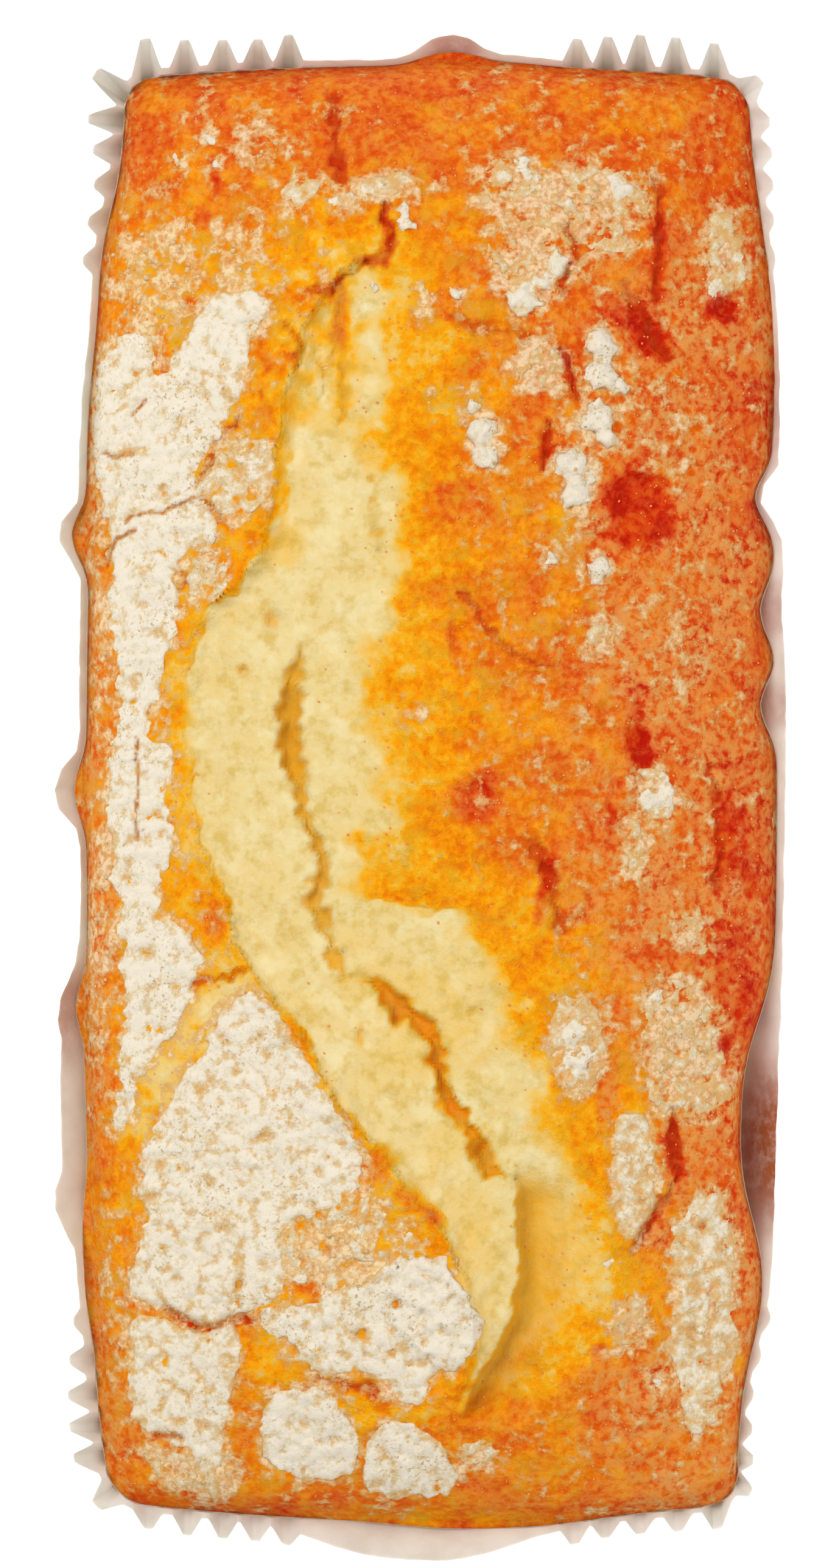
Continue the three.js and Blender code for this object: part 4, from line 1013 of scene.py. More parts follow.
# Each sheet: how whole it is (1 unbroken, 0.5 in flakes), how much it rises, how white it is,
# and its outline.
SHEETS = [
    (1, 1, 0.9, [
        (-27.1, 65.4), (-23.5, 66.2), (-20.5, 65.2), (-19.9, 63.2), (-22.5, 60), (-23, 53.6),
        (-25.4, 49.8), (-27.4, 45.6), (-29, 41.6), (-28.8, 39.6), (-31.1, 38.6), (-34.2, 37),
        (-36.6, 37.2), (-41, 37.4), (-42.6, 40), (-42.6, 46), (-42.4, 52), (-42, 56.4), (-39.3, 60.6),
        (-35.7, 61.2), (-34.6, 58.8), (-35.4, 55.8), (-33.8, 55), (-31.6, 58.4), (-30, 61),
    ]),
    (1, 1, 0.9, [
        (-36.6, 37.4), (-34.2, 37.4), (-31.1, 38.9), (-28.7, 39.4), (-27.2, 36.6), (-27.3, 34.4),
        (-30.1, 32.4), (-31.7, 30.2), (-32, 25.6), (-32.3, 21.6), (-33.4, 17.6), (-34.5, 12.8),
        (-35.8, 9.6), (-35.6, 7.6), (-33.5, 6.8), (-32.5, 4.8), (-32.5, 2.4), (-33.2, 0.8), (-32.8, -4),
        (-32.8, -7.2), (-34, -10.4), (-34.3, -15.2), (-36, -19), (-39.7, -19), (-39.4, -15), (-40.7, -11),
        (-40, -7), (-40.9, -2.4), (-40.8, 5.6), (-39.7, 9), (-39.4, 16), (-40.9, 22), (-40.6, 27.4),
        (-41, 33), (-40.6, 37),
    ]),
    (1, 0.9, 0.9, [
        (-37.6, -17), (-33, -16), (-29.6, -18.2), (-28.7, -21.4), (-29.5, -24.8), (-30.9, -28),
        (-32.9, -31.2), (-36, -34.8), (-36.9, -39.2), (-38.5, -41.8), (-40, -44.4), (-40.4, -42),
        (-39.5, -36), (-39.3, -30), (-38.9, -26.4), (-39.2, -22),
    ]),
    (0.93, 0.6, 0.5, [
        (-25.9, 46), (-22, 47), (-19.6, 46), (-18.4, 42.6), (-19.4, 39.6), (-21.8, 37.4), (-25, 36.8),
        (-27.6, 37.8), (-29, 40), (-27.8, 43),
    ]),
    (0.9, 0.6, 0.55, [
        (-29.9, 32.8), (-27.3, 33), (-25.3, 31), (-26.1, 27.4), (-28.5, 25.6), (-30.4, 28),
    ]),
    (1, 1.1, 0.8, [
        (-25.9, -28), (-23.5, -26.2), (-20.2, -26.2), (-16.8, -31.4), (-14, -35.4), (-11.4, -40.6),
        (-8.6, -45.4), (-7.2, -48), (-8.4, -51.6), (-12.5, -54), (-17, -56), (-18, -60.8), (-17.6, -64),
        (-20.5, -66.8), (-23.1, -67.8), (-27.9, -69.2), (-30.6, -68.8), (-33.5, -67), (-37.4, -66.4),
        (-38.5, -63), (-37.4, -60), (-35.4, -55.4), (-35.8, -53.6), (-36.8, -48), (-35.4, -44),
        (-31.8, -40), (-31.4, -36.4), (-28.2, -32.8),
    ]),
    (0.98, 1, 0.75, [
        (-37.6, -69.4), (-34.6, -67.4), (-32, -69.4), (-28, -69.8), (-24.4, -68.8), (-23.6, -73),
        (-24.2, -77), (-25.4, -80), (-25.2, -84), (-25.2, -87.6), (-28, -88.2), (-30.6, -86),
        (-31.6, -84.6), (-36.5, -83.8), (-38.1, -80), (-38.2, -73),
    ]),
    (0.82, 0.5, 0.45, [
        (-36.7, -85.4), (-31, -85.8), (-25.4, -87), (-24.4, -90), (-27, -92.8), (-31, -91.8), (-35, -89),
    ]),
    (1, 1.3, 0.9, [
        (-18.4, -78.2), (-13, -77.6), (-10.2, -80.4), (-8.6, -84), (-8.8, -88.2), (-12, -89.2),
        (-16.4, -89.2), (-20.2, -87.4), (-20.8, -84), (-20, -80.4),
    ]),
    (1, 1.2, 0.85, [
        (-5.3, -83), (-0.7, -82.4), (3.9, -86.6), (4.9, -90.8), (-1.5, -92.2), (-6.2, -91.6),
        (-7.2, -87.2),
    ]),
    (1, 2, 1, [
        (-4.3, -61.6), (-0.6, -60), (3.7, -60.6), (5.4, -64), (8, -67.8), (8.4, -70.2), (6.7, -73.4),
        (3.1, -75), (-1, -73), (-4.6, -68),
    ]),
    (0.96, 1.1, 0.8, [
        (-20.6, -67.4), (-16, -66), (-11, -64.8), (-6, -63), (-3.5, -61), (-0.5, -67), (2, -73),
        (0.8, -78.6), (-2.2, -79.4), (-4.2, -76.8), (-8, -75.2), (-13.6, -75.8), (-16.6, -72),
        (-20, -70.4),
    ]),
    (0.8, 0.5, 0.5, [
        (-18, -55.4), (-13, -54), (-8.2, -52), (-4.6, -53.4), (-1, -57), (0.4, -60.6), (-4, -63),
        (-8, -65), (-12, -66), (-17, -66.6), (-18.8, -63), (-18.6, -59),
    ]),
    (0.85, 0.7, 0.6, [
        (6, -85), (9, -84.6), (11.6, -85.8), (9, -87.2), (6.2, -87),
    ]),
    (0.95, 0.8, 0.6, [
        (-8.1, 80.8), (-5.5, 81.8), (-1.4, 81.4), (-1.8, 79.6), (-5.5, 79), (-7.5, 79.6),
    ]),
    (0.9, 0.7, 0.5, [
        (-17.6, 80.8), (-13.1, 81.2), (-14.1, 78.6), (-15.5, 76.6), (-17.9, 78.4),
    ]),
    (0.9, 0.7, 0.5, [
        (-10.9, 79.2), (-7.5, 79.2), (-7.1, 77.6), (-10.3, 76.8),
    ]),
    # the far right: flakes and broken sheets
    (0.75, 0.9, 0.5, [
        (6.9, 80.8), (10.5, 83.6), (14.5, 84), (16, 81), (15.4, 78), (12.9, 77.4), (8.9, 78), (7.1, 79.4),
    ]),
    (0.73, 0.9, 0.5, [
        (16.9, 81.8), (20.9, 82.8), (25.7, 82.8), (29.3, 82.2), (30.1, 79.6), (29.6, 76.4), (26.3, 76.4),
        (20.9, 75.6), (16.5, 76.8), (16.5, 79),
    ]),
    (0.78, 0.9, 0.5, [
        (21.9, 74.4), (24.9, 75.4), (28.5, 75.2), (29.7, 73), (27.7, 71.6), (22.5, 71.6),
    ]),
    (0.68, 0.8, 0.4, [
        (8.7, 74), (12.1, 75.4), (19.7, 75.2), (21.7, 70.6), (20.1, 68.4), (17.3, 65.4), (13.7, 63),
        (11.3, 65), (9.7, 69),
    ]),
    (0.72, 0.8, 0.4, [
        (12.9, 59), (15.3, 60.4), (18.3, 58.6), (19.1, 55.6), (16.9, 53.8), (13.3, 54.2),
    ]),
    # down the right side
    (0.84, 0.8, 0.5, [
        (38.5, 77), (41.3, 76), (42.7, 71), (42.1, 67), (39.7, 66.4), (37.6, 71), (38, 75),
    ]),
    (0.75, 0.8, 0.5, [
        (30.2, -25.4), (35.4, -24.6), (38.2, -29), (40.8, -36), (39.2, -41.4), (34, -42.2), (30.2, -39),
        (29.4, -32),
    ]),
    (1, 0.8, 0.5, [
        (26.2, -41.6), (29.4, -42), (31.1, -48), (30.8, -54), (28.6, -58.4), (25.8, -56.4), (25.1, -50),
        (24.8, -45),
    ]),
    (0.92, 0.9, 0.6, [
        (36.5, -52.6), (40, -52.2), (41.6, -58), (41, -66), (41.8, -72), (40, -77), (38.6, -83),
        (34.8, -83.2), (34.4, -78), (33, -74), (33.2, -66), (32.8, -60), (34.2, -55),
    ]),
    (0.76, 0.7, 0.4, [
        (25, -66), (28.4, -65), (30, -68), (28.6, -71.6), (25, -71),
    ]),
    (0.84, 0.7, 0.4, [
        (18, -26.6), (22, -26), (24.2, -29), (24.4, -34), (22.6, -38.8), (19.2, -39.6), (17, -36),
        (16.8, -31),
    ]),
    (0.76, 0.8, 0.5, [
        (28.7, 3), (32, 3.4), (33.3, 0), (32, -2.8), (29, -2),
    ]),
    (0.84, 0.7, 0.4, [
        (27.4, -3), (29.2, -3.4), (29.8, -9), (27.8, -9.6),
    ]),
    (0.76, 0.6, 0.4, [
        (33.9, -15.6), (36.5, -16.2), (38.4, -20), (36.9, -20.8), (35.1, -18.4),
    ]),
    (0.8, 0.6, 0.4, [
        (21.6, 22.6), (25, 23), (25.4, 19.4), (22.2, 18.6),
    ]),
]

# x, y and radius of the lumps that stand out.
LUMPS = [
    (13.7, 64.8, 2.2),
    (18.2, 69.6, 1.8),
    (16.4, 67.4, 1.3),
    (23.9, 59.2, 2.4),
    (23.9, 55, 2.6),
    (26.4, 53.6, 1.7),
    (23.7, 49.6, 2.4),
    (24.7, 47.2, 2),
    (19.5, 43.6, 2.5),
    (20.1, 39.8, 2.3),
    (22.2, 41.6, 1.2),
    (8.1, 47.6, 2.3),
    (8.6, 44.6, 2),
    (7.2, 51.4, 1.3),
    (23.7, 30, 1.8),
    (17.7, 31.2, 1.2),
    (-1.4, 75.4, 1.5),
    (-1.8, 77.2, 1.3),
    (13.8, 83.2, 1.5),
    (26.2, 80.4, 1.6),
    (38.9, 66.6, 1.3),
    (-11.5, 78.8, 0.9),
    (21.4, -34.6, 2),
    (19.8, -31, 1.6),
    (32.2, 0.6, 1.5),
    (30.2, 0, 1.4),
    (24.9, -61.6, 1.1),
    (31.4, -26, 1.2),
    (-28, 86.4, 1),
    (-27.4, 83.4, 0.9),
    (-31.8, 83.4, 0.9),
    (-5.6, 66.4, 1.1),
    (-11.5, 56, 0.6),
    (4.4, 66, 1.2),
    (30.6, -76.6, 1.1),
    (-16.6, -24.6, 0.6),
]
LUMP_DOME = 0.34
ABOVE = 90

# Brown places that the sheets leave bare: x, y and half sizes.
BARE_SPOTS = [
    (-41.9, 29.6, 1, 1.2),
    (-42.7, 23.2, 0.9, 1.9),
    (-41.9, 15.6, 1, 1.4),
    (-42.3, 2.8, 1.2, 1.5),
    (-43.1, -3.2, 1, 2),
    (-40.9, -14.4, 1.3, 1.8),
    (-41.2, -26, 0.6, 2.4),
    (-41, -32, 0.7, 2.6),
    (-40.6, -37.6, 1.2, 1),
    (-12, -58.4, 2.2, 0.8),
    (-15, -64.8, 2.6, 1),
    (-8.4, -60.8, 1.6, 0.5),
    (-4.4, -58.4, 2, 0.5),
    (-34.3, -34.6, 0.5, 0.4),
]
SHEET_STEP = 0.33
SHEET_SPREAD = 0.4
SHEET_EDGE = 1.5
SHEET_FOOT = -0.1
SHEET_BODY = 0.62
SHEET_THICKNESS = 1.1
LUMPINESS = 0.3
CRACKLE = 0.24
CRACKLE_ON_LUMPS = 0.3
PIT_SHARE = 0.6
SHEET_UNEVEN = (0.7, 0.7, 211)
PIT_UNEVEN = (0.4, 0.4, 245)
RAGGED_EDGE = 0.3
LUMP_WHITE = 1.05
OUTSIDE = -9
FILM_REACH = 1.5

# A sheet breaks into flakes where a wave falls under a level that its wholeness sets.
FLAKE_SLOPE = 1.1
WHOLE_GAIN = 2.8
HALF_WHOLE = 0.55
FLAKE_LEVEL = 0.12
SEARCH_MARGIN = 3
BARE_DEPTH = 3


def curve_through(outline, steps):
    """A closed outline rounded through its points."""
    points = np.array(outline, float)
    before, after, next_after = np.roll(points, 1, 0), np.roll(points, -1, 0), np.roll(points, -2, 0)
    rounded = []
    for share in np.arange(steps) / steps:
        rounded.append(
            0.5 * (2 * points + (after - before) * share
                   + (2 * before - 5 * points + 4 * after - next_after) * share ** 2
                   + (3 * points - before - 3 * after + next_after) * share ** 3)
        )
    return np.stack(rounded, 1).reshape(-1, 2)


def inside_depth(x, y, outline):
    """How far inside an outline each point lies, in millimetres; negative outside it."""
    corners = curve_through(outline, 4)
    depth = np.full_like(x, FAR_AWAY)
    inside = np.zeros(x.shape, bool)
    for (from_x, from_y), (to_x, to_y) in zip(corners, np.roll(corners, -1, 0)):
        dx, dy = to_x - from_x, to_y - from_y
        share = np.clip(((x - from_x) * dx + (y - from_y) * dy) / (dx * dx + dy * dy + TINY ** 2), 0, 1)
        depth = np.minimum(depth, np.hypot(x - from_x - share * dx, y - from_y - share * dy))
        passes = (from_y > y) != (to_y > y)
        inside ^= passes & (x < from_x + dx * (y - from_y) / (dy if dy else TINY))
    return np.where(inside, depth, -depth)


def streusel_at(x, y):
    """How far inside the streusel each point lies, its rise and whiteness, and the lumps' domes."""
    torn_x, torn_y = ragged(x, y, *SHEET_UNEVEN)
    torn_x = torn_x + RAGGED_EDGE * ripples(x, y, 0.9, 217)
    torn_y = torn_y + RAGGED_EDGE * ripples(x, y, 0.9, 219)
    flaking = roughness(x, y, 2, 3, 221)
    depth_in = np.full_like(x, OUTSIDE)
    rise, whiteness, dome = np.ones_like(x), np.zeros_like(x), np.zeros_like(x)
    for whole, sheet_rise, white, outline in SHEETS:
        low, high = np.min(outline, 0) - SEARCH_MARGIN, np.max(outline, 0) + SEARCH_MARGIN
        near = (torn_x > low[0]) & (torn_x < high[0]) & (torn_y > low[1]) & (torn_y < high[1])
        depth = inside_depth(torn_x[near], torn_y[near], outline) + SHEET_SPREAD
        broken = FLAKE_SLOPE * (flaking[near] + WHOLE_GAIN * (whole - HALF_WHOLE) - FLAKE_LEVEL)
        depth = np.minimum(depth, broken)
        wins = depth > depth_in[near]
        places = np.flatnonzero(near)[wins]
        depth_in[places] = depth[wins]
        rise[places] = sheet_rise
        whiteness[places] = white
    for middle_x, middle_y, radius in LUMPS:
        away = np.hypot(torn_x - middle_x, torn_y - middle_y)
        wins = radius - away > depth_in
        depth_in = np.where(wins, radius - away, depth_in)
        whiteness = np.where(away < radius, LUMP_WHITE, whiteness)
        dome = np.maximum(dome, LUMP_DOME * np.sqrt(np.maximum(radius ** 2 - away ** 2, 0)))
    for oval in BARE_SPOTS:
        depth_in -= BARE_DEPTH * blob(torn_x, torn_y, *oval)
    return depth_in, rise, whiteness, dome


def top_of(tree, x, y):
    """How high the top of a piece lies at places, in millimetres, and -1 where it has none."""
    heights = []
    for place in zip(x, y):
        hit = tree.ray_cast(Vector((*place, ABOVE)) * MM, Vector((0, 0, -1)))[0]
        heights.append(hit.z / MM if hit else -1)
    return np.array(heights)


def painted_on(piece, name):
    """The numbers that a piece's corners were painted with."""
    values = np.zeros(len(piece.data.vertices), np.float32)
    piece.data.attributes[name].data.foreach_get("value", values)
    return values.astype(float)


def thicken(piece, thickness):
    """Gives an open skin a thickness in millimetres, on its inner side."""
    shell = piece.modifiers.new("thickness", "SOLIDIFY")
    shell.thickness = thickness * MM
    shell.offset = -1
    bpy.ops.object.modifier_apply(modifier=shell.name)


# A flat grid over the whole top is painted with the streusel, except beside the loaf's top.
half_across, half_along = RIM_HALF_WIDTH + SIDE_BOW, RIM_HALF_LENGTH + END_BOW
sheets = new_piece(
    "streusel_sheets", bpy.ops.mesh.primitive_grid_add, size=2,
    x_subdivisions=int(2 * half_across / SHEET_STEP), y_subdivisions=int(2 * half_along / SHEET_STEP),
)
grid = corners_of(sheets)
flat_x, flat_y = MIDDLE_X + grid[:, 0] * half_across, MIDDLE_Y + grid[:, 1] * half_along
loaf_tree = tree_of(loaf)
depth_in, rise, whiteness, dome = streusel_at(flat_x, flat_y)
inside = np.flatnonzero(depth_in > 0)
beside = top_of(loaf_tree, flat_x[inside], flat_y[inside]) < SHOULDER + 0.5
depth_in[inside[beside]] = OUTSIDE
for name, values in zip(("depth", "rise", "white", "dome"), (depth_in, rise, whiteness, dome)):
    paint(sheets, name, values)

# Squares that aren't wholly in the streusel go, and the stepped edge that is left is smoothed.
place_corners(sheets, np.stack([flat_x, flat_y, np.zeros_like(flat_x)], -1))
face_corners = np.zeros(len(sheets.data.loops), int)
sheets.data.loops.foreach_get("vertex_index", face_corners)
outside = ~np.all((painted_on(sheets, "depth") > 0)[face_corners.reshape(-1, 4)], axis=1)
bpy.context.tool_settings.mesh_select_mode = (False, False, True)
bpy.ops.object.mode_set(mode="EDIT")
bpy.ops.mesh.select_all(action="DESELECT")
bpy.ops.object.mode_set(mode="OBJECT")
sheets.data.polygons.foreach_set("select", outside)
bpy.ops.object.mode_set(mode="EDIT")
bpy.ops.mesh.delete(type="FACE")
bpy.ops.mesh.select_all(action="SELECT")
bpy.ops.mesh.region_to_loop()
bpy.ops.mesh.vertices_smooth(factor=0.5, repeat=2)
bpy.ops.object.mode_set(mode="OBJECT")
bpy.context.tool_settings.mesh_select_mode = (True, False, False)

# What is left is laid on the loaf. It swells from its feathered edge, and is lumpy and pitted.
flat = corners_of(sheets) / MM
sheet_x, sheet_y = flat[:, 0], flat[:, 1]
depth_in, rise, whiteness, dome = (painted_on(sheets, name) for name in ("depth", "rise", "white", "dome"))
bed = np.maximum(top_of(loaf_tree, sheet_x, sheet_y), SHOULDER)
swell = smooth(depth_in, -0.1, SHEET_EDGE)
crackle = roughness(sheet_x, sheet_y, 1.7, 3, 231)
lumpy = roughness(sheet_x, sheet_y, 5, 2, 235)
pitting = smooth(roughness(sheet_x, sheet_y, 1.3, 2, 241) + 0.35 * lumpy, 1, 1.25) * swell
for half, _, _, line in CREASES:
    away, _, _ = nearest_on(line, *ragged(sheet_x, sheet_y, *PIT_UNEVEN))
    pitting = np.maximum(pitting, 1 - smooth(away, 0.3 * half, 0.9 * half))
body = SHEET_BODY * rise * swell * (0.85 + LUMPINESS * lumpy)
body = body + (CRACKLE + CRACKLE_ON_LUMPS * np.minimum(dome, 1)) * crackle * swell + dome * swell
body = SHEET_FOOT + body * (1 - PIT_SHARE * pitting)
place_corners(sheets, np.stack([sheet_x, sheet_y, bed + body], -1))
paint(sheets, "pit", pitting)
thin = 1 - smooth(depth_in + 0.7 * crackle, 0, 1.7)
whiteness += 0.18 * crackle - 0.55 * thin - 0.2 * smooth(lumpy, 0, 0.9)
sheets.data.attributes["white"].data.foreach_set("value", whiteness.astype(np.float32))
bpy.ops.object.shade_smooth()
thicken(sheets, SHEET_THICKNESS)

# The crust carries a thin film of streusel for a little way round each sheet.
paint(loaf, "film", (1 - smooth(-streusel_at(top_x, top_y)[0], 0, FILM_REACH)) * on_top)

WHITE_STREUSEL = colour(238, 227, 206)
CREAM_STREUSEL = colour(224, 198, 154)
TAN_STREUSEL = colour(222, 172, 104)
PIT_BROWN_AND_SHADE = colour(188, 122, 52)
GREENISH_CREAM = colour(212, 198, 156)
SPECK_OLIVE = colour(184, 150, 92)
streusel = Finish("streusel_crust")
white = streusel.painted("white")
fleck = streusel.spread(streusel.noise(0.7, 5, 0.7), 0.3, 0.7, -0.3, 0.3)
whitened = streusel.plus(white, fleck, clamp=True)
tone = streusel.ramp(whitened, [(0, TAN_STREUSEL), (0.35, CREAM_STREUSEL), (0.7, WHITE_STREUSEL)])
greenish = streusel.spread(streusel.noise(1.3, 4, 0.7), 0.5, 0.7, 0, 0.5)
tone = streusel.blend(greenish, tone, GREENISH_CREAM)
clusters = streusel.spread(streusel.noise(7, 2), 0.44, 0.62, 0, 0.75)
specks = streusel.spread(streusel.noise(0.55, 3, 0.6), 0.55, 0.66)
tone = streusel.blend(streusel.times(specks, clusters), tone, SPECK_OLIVE)
# The pits are browned, partly as the streusel's own colour and partly as painted shade in them.
pit_depth = streusel.spread(streusel.noise(0.7, 3), 0.3, 0.55, 0.3, 1)
tone = streusel.blend(streusel.times(streusel.painted("pit"), pit_depth), tone, PIT_BROWN_AND_SHADE)
rub = streusel.noise(0.6, 5, 0.7)
sheets.data.materials.append(streusel.surface(tone, rub, depth=0.22, Roughness=0.85, Specular_IOR_Level=0.12))
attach(sheets, "root")

# ---------------------------------------------------------------------------
# The streusel crumbs
# What didn't run together: a litter of fine crumbs that stick to the crust round the sheets.
# The middle of each lies hardly above what it lies on, so that it is sunk in nearly by half.
# ---------------------------------------------------------------------------
CRUMBS = 4200
CRUMBS_DRAWN = 90000
CRUMBS_KEPT = 0.3
CRUMB_LOW = 0.15
CRUMB_HIGH = 0.5
CRUMB_SEED = 311
CRUMB_RAISED = 0.05
CRUMB_FLATNESS = 0.65
COPY_STRETCH = (0.75, 1.25)
COPY_DENT = 0.16


def scattered(name, seed_piece, places, sizes, flatness, seed):
    """One mesh of copies of a small piece, each with its place, size, turn and stretch, and
    for each corner the number of its copy."""
    random = np.random.default_rng(seed)
    corners = corners_of(seed_piece)
    faces = np.array([face.vertices for face in seed_piece.data.polygons])
    count = len(places)
    turns = random.uniform(0, 2 * math.pi, count)
    stretch = random.uniform(*COPY_STRETCH, (count, 1, 3)) * np.array([1, 1, flatness])
    dented = corners[None] * (1 + random.uniform(-COPY_DENT, COPY_DENT, (count, len(corners), 1)))
    made = dented * stretch * np.asarray(sizes)[:, None, None]
    cos, sin = np.cos(turns)[:, None], np.sin(turns)[:, None]
    made_x, made_y = made[..., 0] * cos - made[..., 1] * sin, made[..., 0] * sin + made[..., 1] * cos
    turned = np.stack([made_x, made_y, made[..., 2]], -1)
    everything = (turned + np.asarray(places)[:, None, :]).reshape(-1, 3)
    first_corners = (np.arange(count) * len(corners))[:, None, None]
    all_faces = (faces[None] + first_corners).reshape(-1, faces.shape[1])
    mesh = bpy.data.meshes.new(name)
    mesh.from_pydata((everything * MM).tolist(), [], all_faces.tolist())
    piece = bpy.data.objects.new(name, mesh)
    bpy.context.scene.collection.objects.link(piece)
    bpy.data.objects.remove(seed_piece)
    return piece, np.repeat(np.arange(count), len(corners))


# Crumbs fall where the crust is dusted: many spots are drawn, and each is kept by its dusting.
random = np.random.default_rng(CRUMB_SEED)
draw_x = random.uniform(-44, 46, CRUMBS_DRAWN)
draw_y = random.uniform(-93, 95, CRUMBS_DRAWN)
drawn = np.zeros(CRUMBS_DRAWN)
for *oval, thickness in DUSTINGS:
    drawn = np.maximum(drawn, thickness * blob(draw_x, draw_y, *oval))
drawn = smooth(drawn, 0.42, 0.62) * (1 - torn(draw_x, draw_y))
drawn = drawn * smooth(ripples(draw_x, draw_y, 2.2, 313), -0.2, 0.5)
kept = np.flatnonzero(random.uniform(0, 1, CRUMBS_DRAWN) < drawn * CRUMBS_KEPT)[:CRUMBS]
crumb_x, crumb_y = draw_x[kept], draw_y[kept]
crumb_bed = top_of(loaf_tree, crumb_x, crumb_y)
on_loaf = crumb_bed > SHOULDER + 1
crumb_x, crumb_y, crumb_bed = crumb_x[on_loaf], crumb_y[on_loaf], crumb_bed[on_loaf]
sheet_tree = tree_of(sheets)
crumb_bed = np.maximum(crumb_bed, top_of(sheet_tree, crumb_x, crumb_y))
crumb_sizes = CRUMB_LOW + (CRUMB_HIGH - CRUMB_LOW) * random.uniform(0, 1, len(crumb_x)) ** 2.4
pebble = new_piece("pebble", bpy.ops.mesh.primitive_ico_sphere_add, subdivisions=1, radius=1)
crumb_places = np.stack([crumb_x, crumb_y, crumb_bed + CRUMB_RAISED * crumb_sizes], -1)
crumbs, crumb_of = scattered("streusel_crumbs", pebble, crumb_places, crumb_sizes, CRUMB_FLATNESS, 317)
paint(crumbs, "white", random.uniform(0, 0.4, len(crumb_x))[crumb_of])
crumbs.data.materials.append(streusel.material)
crumbs.data.polygons.foreach_set("use_smooth", [True] * len(crumbs.data.polygons))
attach(crumbs, "root")

# ---------------------------------------------------------------------------
# The sugar
# Coarse sugar that was strewn over the batter. Most grains melted to a thin glaze, and those
# that are left are small and dull, tan as the crust that they stick to.
# ---------------------------------------------------------------------------
GRAINS = 2000
GRAIN_LOW = 0.1
GRAIN_HIGH = 0.17
GRAIN_RAISED = 0.1
GRAIN_FLATNESS = 0.9

grain_x = random.uniform(-43, 45, 2 * GRAINS)
grain_y = random.uniform(-92, 94, 2 * GRAINS)
kept = np.flatnonzero(random.uniform(0, 1, 2 * GRAINS) < (1 - 0.95 * torn(grain_x, grain_y)))[:GRAINS]
grain_x, grain_y = grain_x[kept], grain_y[kept]
grain_bed = top_of(loaf_tree, grain_x, grain_y)
bare = (grain_bed > SHOULDER + 0.5) & (top_of(sheet_tree, grain_x, grain_y) < 0)
grain_x, grain_y, grain_bed = grain_x[bare], grain_y[bare], grain_bed[bare]
grain_sizes = random.uniform(GRAIN_LOW, GRAIN_HIGH, len(grain_x))
cube = new_piece("cube", bpy.ops.mesh.primitive_cube_add, size=1.6)
grain_places = np.stack([grain_x, grain_y, grain_bed + GRAIN_RAISED * grain_sizes], -1)
sugar, _ = scattered("sugar_grains", cube, grain_places, grain_sizes, GRAIN_FLATNESS, 331)
glint = Finish("sugar")
dull = glint.noise(0.8, 2)
sugar_tone = glint.ramp(dull, [(0.3, colour(220, 118, 44)), (0.7, colour(232, 156, 82))])
sugar.data.materials.append(
    glint.surface(sugar_tone, dull, depth=0.05, Roughness=0.4, Specular_IOR_Level=0.4)
)
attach(sugar, "root")

# ---------------------------------------------------------------------------
# The paper case
# Thin greaseproof paper, folded up round the loaf into a case. Its corners are gathered in
# sharp upright folds, and where its walls stand off from the cake, its rim folds down to it.
# ---------------------------------------------------------------------------
CASE_HEIGHT = 48

# The rim rises and falls a little: how many times round, how far in mm, and where it starts.
RIM_WAVES = [(3, 0.7, 1), (7, 0.5, 0)]
PAPER_ROUND = 1500
PAPER_BANDS = 18
LINING_BANDS = 2
PAPER_SKIN = 0.22
SHARP_FOLD = 50
PAPER_GLOW = 0.45
WRINKLE = 0.16
LEAST_HEIGHT = 0.3
RIM_UNDER = 0.05
PAPER_FLOOR = 0.2
LINING_CLEAR = 0.45
LINING_INSIDE = 0.3
LINING_LEAST_DROP = 0.3
LINING_SLOPE = 1.1
LINING_DEEPEST = 6

case = new_piece("paper", bpy.ops.mesh.primitive_circle_add, vertices=PAPER_ROUND, radius=1)
bpy.ops.object.mode_set(mode="EDIT")
bpy.ops.mesh.select_all(action="SELECT")
pull_down(LINING_BANDS + PAPER_BANDS)

# The bands run from the lining's inner edge up to the rim and then down the outside.
ring = corners_of(case)
band = np.rint(-ring[:, 2]) - LINING_BANDS
is_middle = np.hypot(ring[:, 0], ring[:, 1]) < 0.5
around = np.arctan2(ring[:, 1], ring[:, 0]) / (2 * math.pi) * PERIMETER
rim_turn = 2 * math.pi * np.mod(around, PERIMETER) / PERIMETER
waves = sum(height * np.sin(times * rim_turn + start) for times, height, start in RIM_WAVES)
rim_height = CASE_HEIGHT + waves
up = 1 - np.maximum(band, 0) / PAPER_BANDS
paper_z = up * (rim_height - RIM_UNDER)
points, outs = rim_at(around)
stand = stands("paper_case", points, outs, np.maximum(paper_z, LEAST_HEIGHT))
wrinkle = 0.6 * ripples(around, paper_z * 0.25, 3.4, 401) + 0.4 * ripples(around, paper_z * 0.4, 1.5, 403)
stand -= WRINKLE * (1 + wrinkle) * smooth(up, 0, 0.2)
lining = np.maximum(-band, 0) / LINING_BANDS
cake_edge = round_the_wall(cake_rings[0], around) + LINING_CLEAR
inner = np.minimum(cake_edge, stand - LINING_INSIDE)
drop = np.minimum(LINING_LEAST_DROP + LINING_SLOPE * (stand - inner), LINING_DEEPEST)
stand = stand + (inner - stand) * lining
paper_z = paper_z - drop * lining
paper_x = np.where(is_middle, MIDDLE_X, points[:, 0] + outs[:, 0] * stand)
paper_y = np.where(is_middle, MIDDLE_Y, points[:, 1] + outs[:, 1] * stand)
place_corners(case, np.stack([paper_x, paper_y, np.maximum(paper_z, PAPER_FLOOR)], -1))

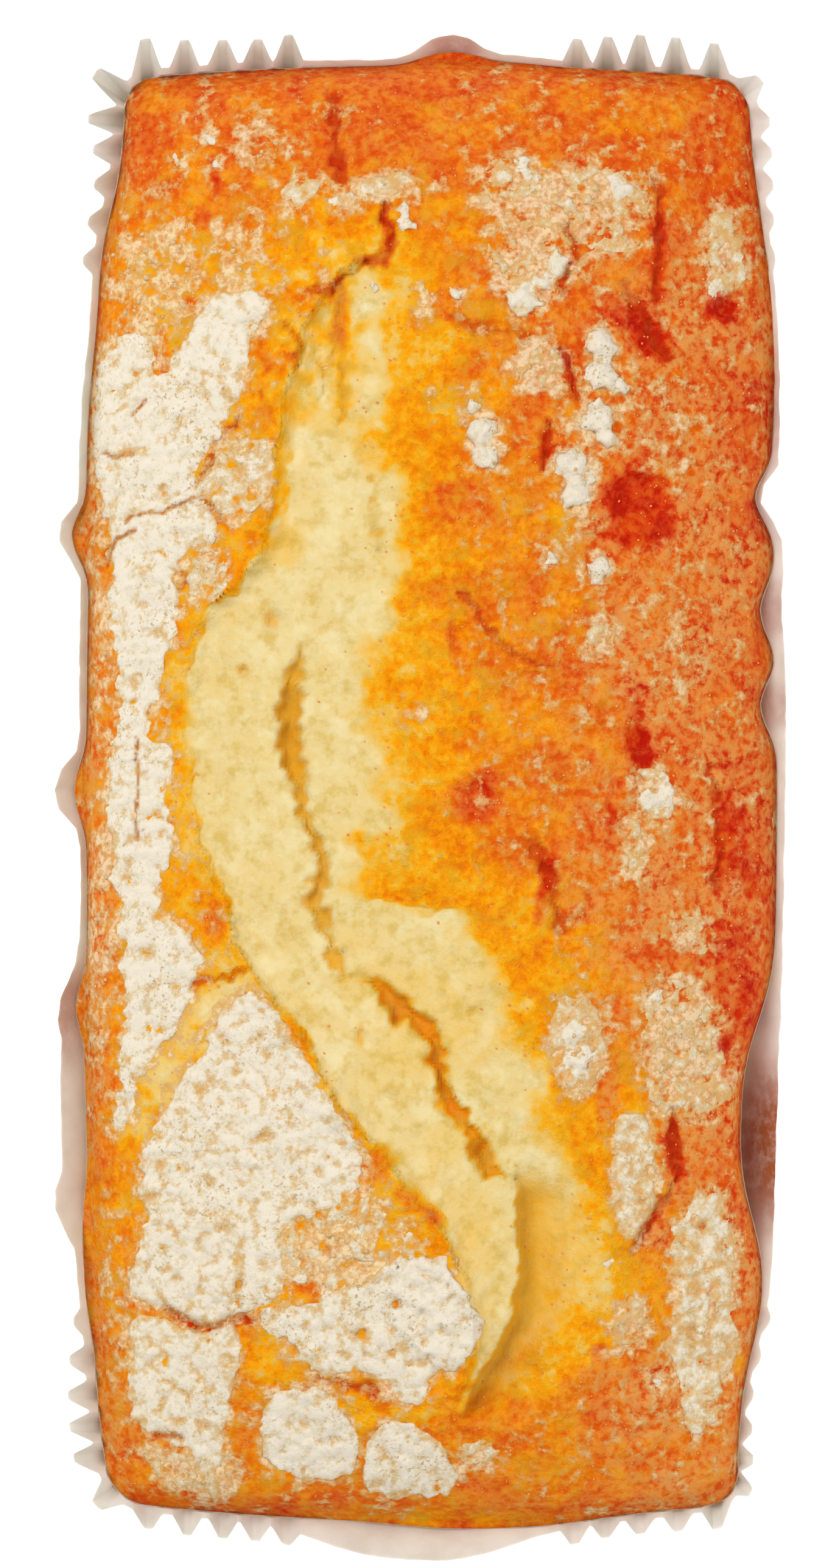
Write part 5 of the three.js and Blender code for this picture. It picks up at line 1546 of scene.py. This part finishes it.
# Fat from the cake has stained the paper's rim here and there: x, y, half sizes and how strongly.
STAINS = [
    (46.5, -46, 5, 11, 1),
    (46.5, 52, 5, 9, 0.3),
    (46.5, 25, 5, 4, 0.3),
    (46.5, 12, 5, 3, 0.3),
    (4.5, 98, 4, 4, 0.5),
    (-47.5, -28, 4, 7, 0.4),
]
STAIN_LOW = 0.66
STAIN_HIGH = 0.98
stain = np.zeros(len(ring))
for *oval, strength in STAINS:
    stain = np.maximum(stain, strength * blob(paper_x, paper_y, *oval))
paint(case, "stain", stain * smooth(up, STAIN_LOW, STAIN_HIGH))
bpy.ops.object.mode_set(mode="EDIT")
bpy.ops.mesh.select_all(action="SELECT")
bpy.ops.mesh.normals_make_consistent(inside=False)
bpy.ops.object.mode_set(mode="OBJECT")
thicken(case, PAPER_SKIN)
bpy.ops.object.shade_smooth_by_angle(angle=math.radians(SHARP_FOLD))

PAPER_WHITE = colour(253, 253, 249)
PAPER_GREY = colour(246, 245, 238)
PAPER_STAIN = colour(200, 124, 74)
greaseproof = Finish("baking_paper")
pulp = greaseproof.noise(5, 4)
tone = greaseproof.blend(greaseproof.spread(pulp, 0.35, 0.7), PAPER_WHITE, PAPER_GREY)
blotchy = greaseproof.spread(greaseproof.noise(2.4, 4, 0.65), 0.3, 0.6, 0.5, 1)
tone = greaseproof.blend(greaseproof.times(greaseproof.painted("stain"), blotchy), tone, PAPER_STAIN)
fibres = greaseproof.noise(0.5, 3)
case.data.materials.append(
    greaseproof.surface(
        tone, fibres, depth=0.05, through=PAPER_GLOW, Roughness=0.5, Specular_IOR_Level=0.3,
    )
)
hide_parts("paper_case")
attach(case, "root")

# ---------------------------------------------------------------------------
# The studio
# A plain pale floor, soft light from the far left with a weaker one from the near right, and a
# camera straight above. In the plane at the camera's middle it sees the view's height.
# ---------------------------------------------------------------------------
VIEW_X = -0.72
VIEW_Y = 1.76
VIEW_PLANE = 55
VIEW_HEIGHT = 206.08
DISTANCE = 2000
SENSOR = 36

floor = new_piece("floor", bpy.ops.mesh.primitive_plane_add, size=14)
pale = Finish("pale_floor")
even = pale.noise(400, 2)
floor_tone = pale.ramp(even, [(0, colour(252, 252, 251)), (1, colour(254, 254, 254))])
floor.data.materials.append(
    pale.surface(
        floor_tone, even, depth=0.01, Roughness=0.9, Specular_IOR_Level=0.1,
        Emission_Color=(1, 1, 1, 1), Emission_Strength=0.3,
    )
)

eye = bpy.data.cameras.new("eye")
eye.sensor_width = SENSOR
eye.lens = SENSOR * DISTANCE / VIEW_HEIGHT
eye.clip_start = 0.05
camera = bpy.data.objects.new("camera", eye)
camera.location = Vector((VIEW_X, VIEW_Y, VIEW_PLANE + DISTANCE)) * MM
bpy.context.scene.collection.objects.link(camera)
bpy.context.scene.camera = camera

# Each lamp: where it stands in metres, its size and its power in watts.
LAMPS = {
    "key": ((-0.6, 0.5, 1.1), 0.8, 9.4),
    "fill": ((0.8, -0.3, 0.8), 1, 4),
}
for name, (place, size, power) in LAMPS.items():
    light = bpy.data.lights.new(name, "AREA")
    light.shape = "DISK"
    light.size = size
    light.energy = power
    lamp = bpy.data.objects.new(name, light)
    lamp.location = place
    lamp.rotation_euler = (-Vector(place)).to_track_quat("-Z", "Y").to_euler()
    lamp.visible_camera = False
    bpy.context.scene.collection.objects.link(lamp)

SKY_STRENGTH = 0.56
world = bpy.data.worlds.new("sky")
world.use_nodes = True
sky = world.node_tree.nodes["Background"].inputs
sky["Color"].default_value = (1, 1, 1, 1)
sky["Strength"].default_value = SKY_STRENGTH
bpy.context.scene.world = world
bpy.context.scene.view_settings.view_transform = "Standard"
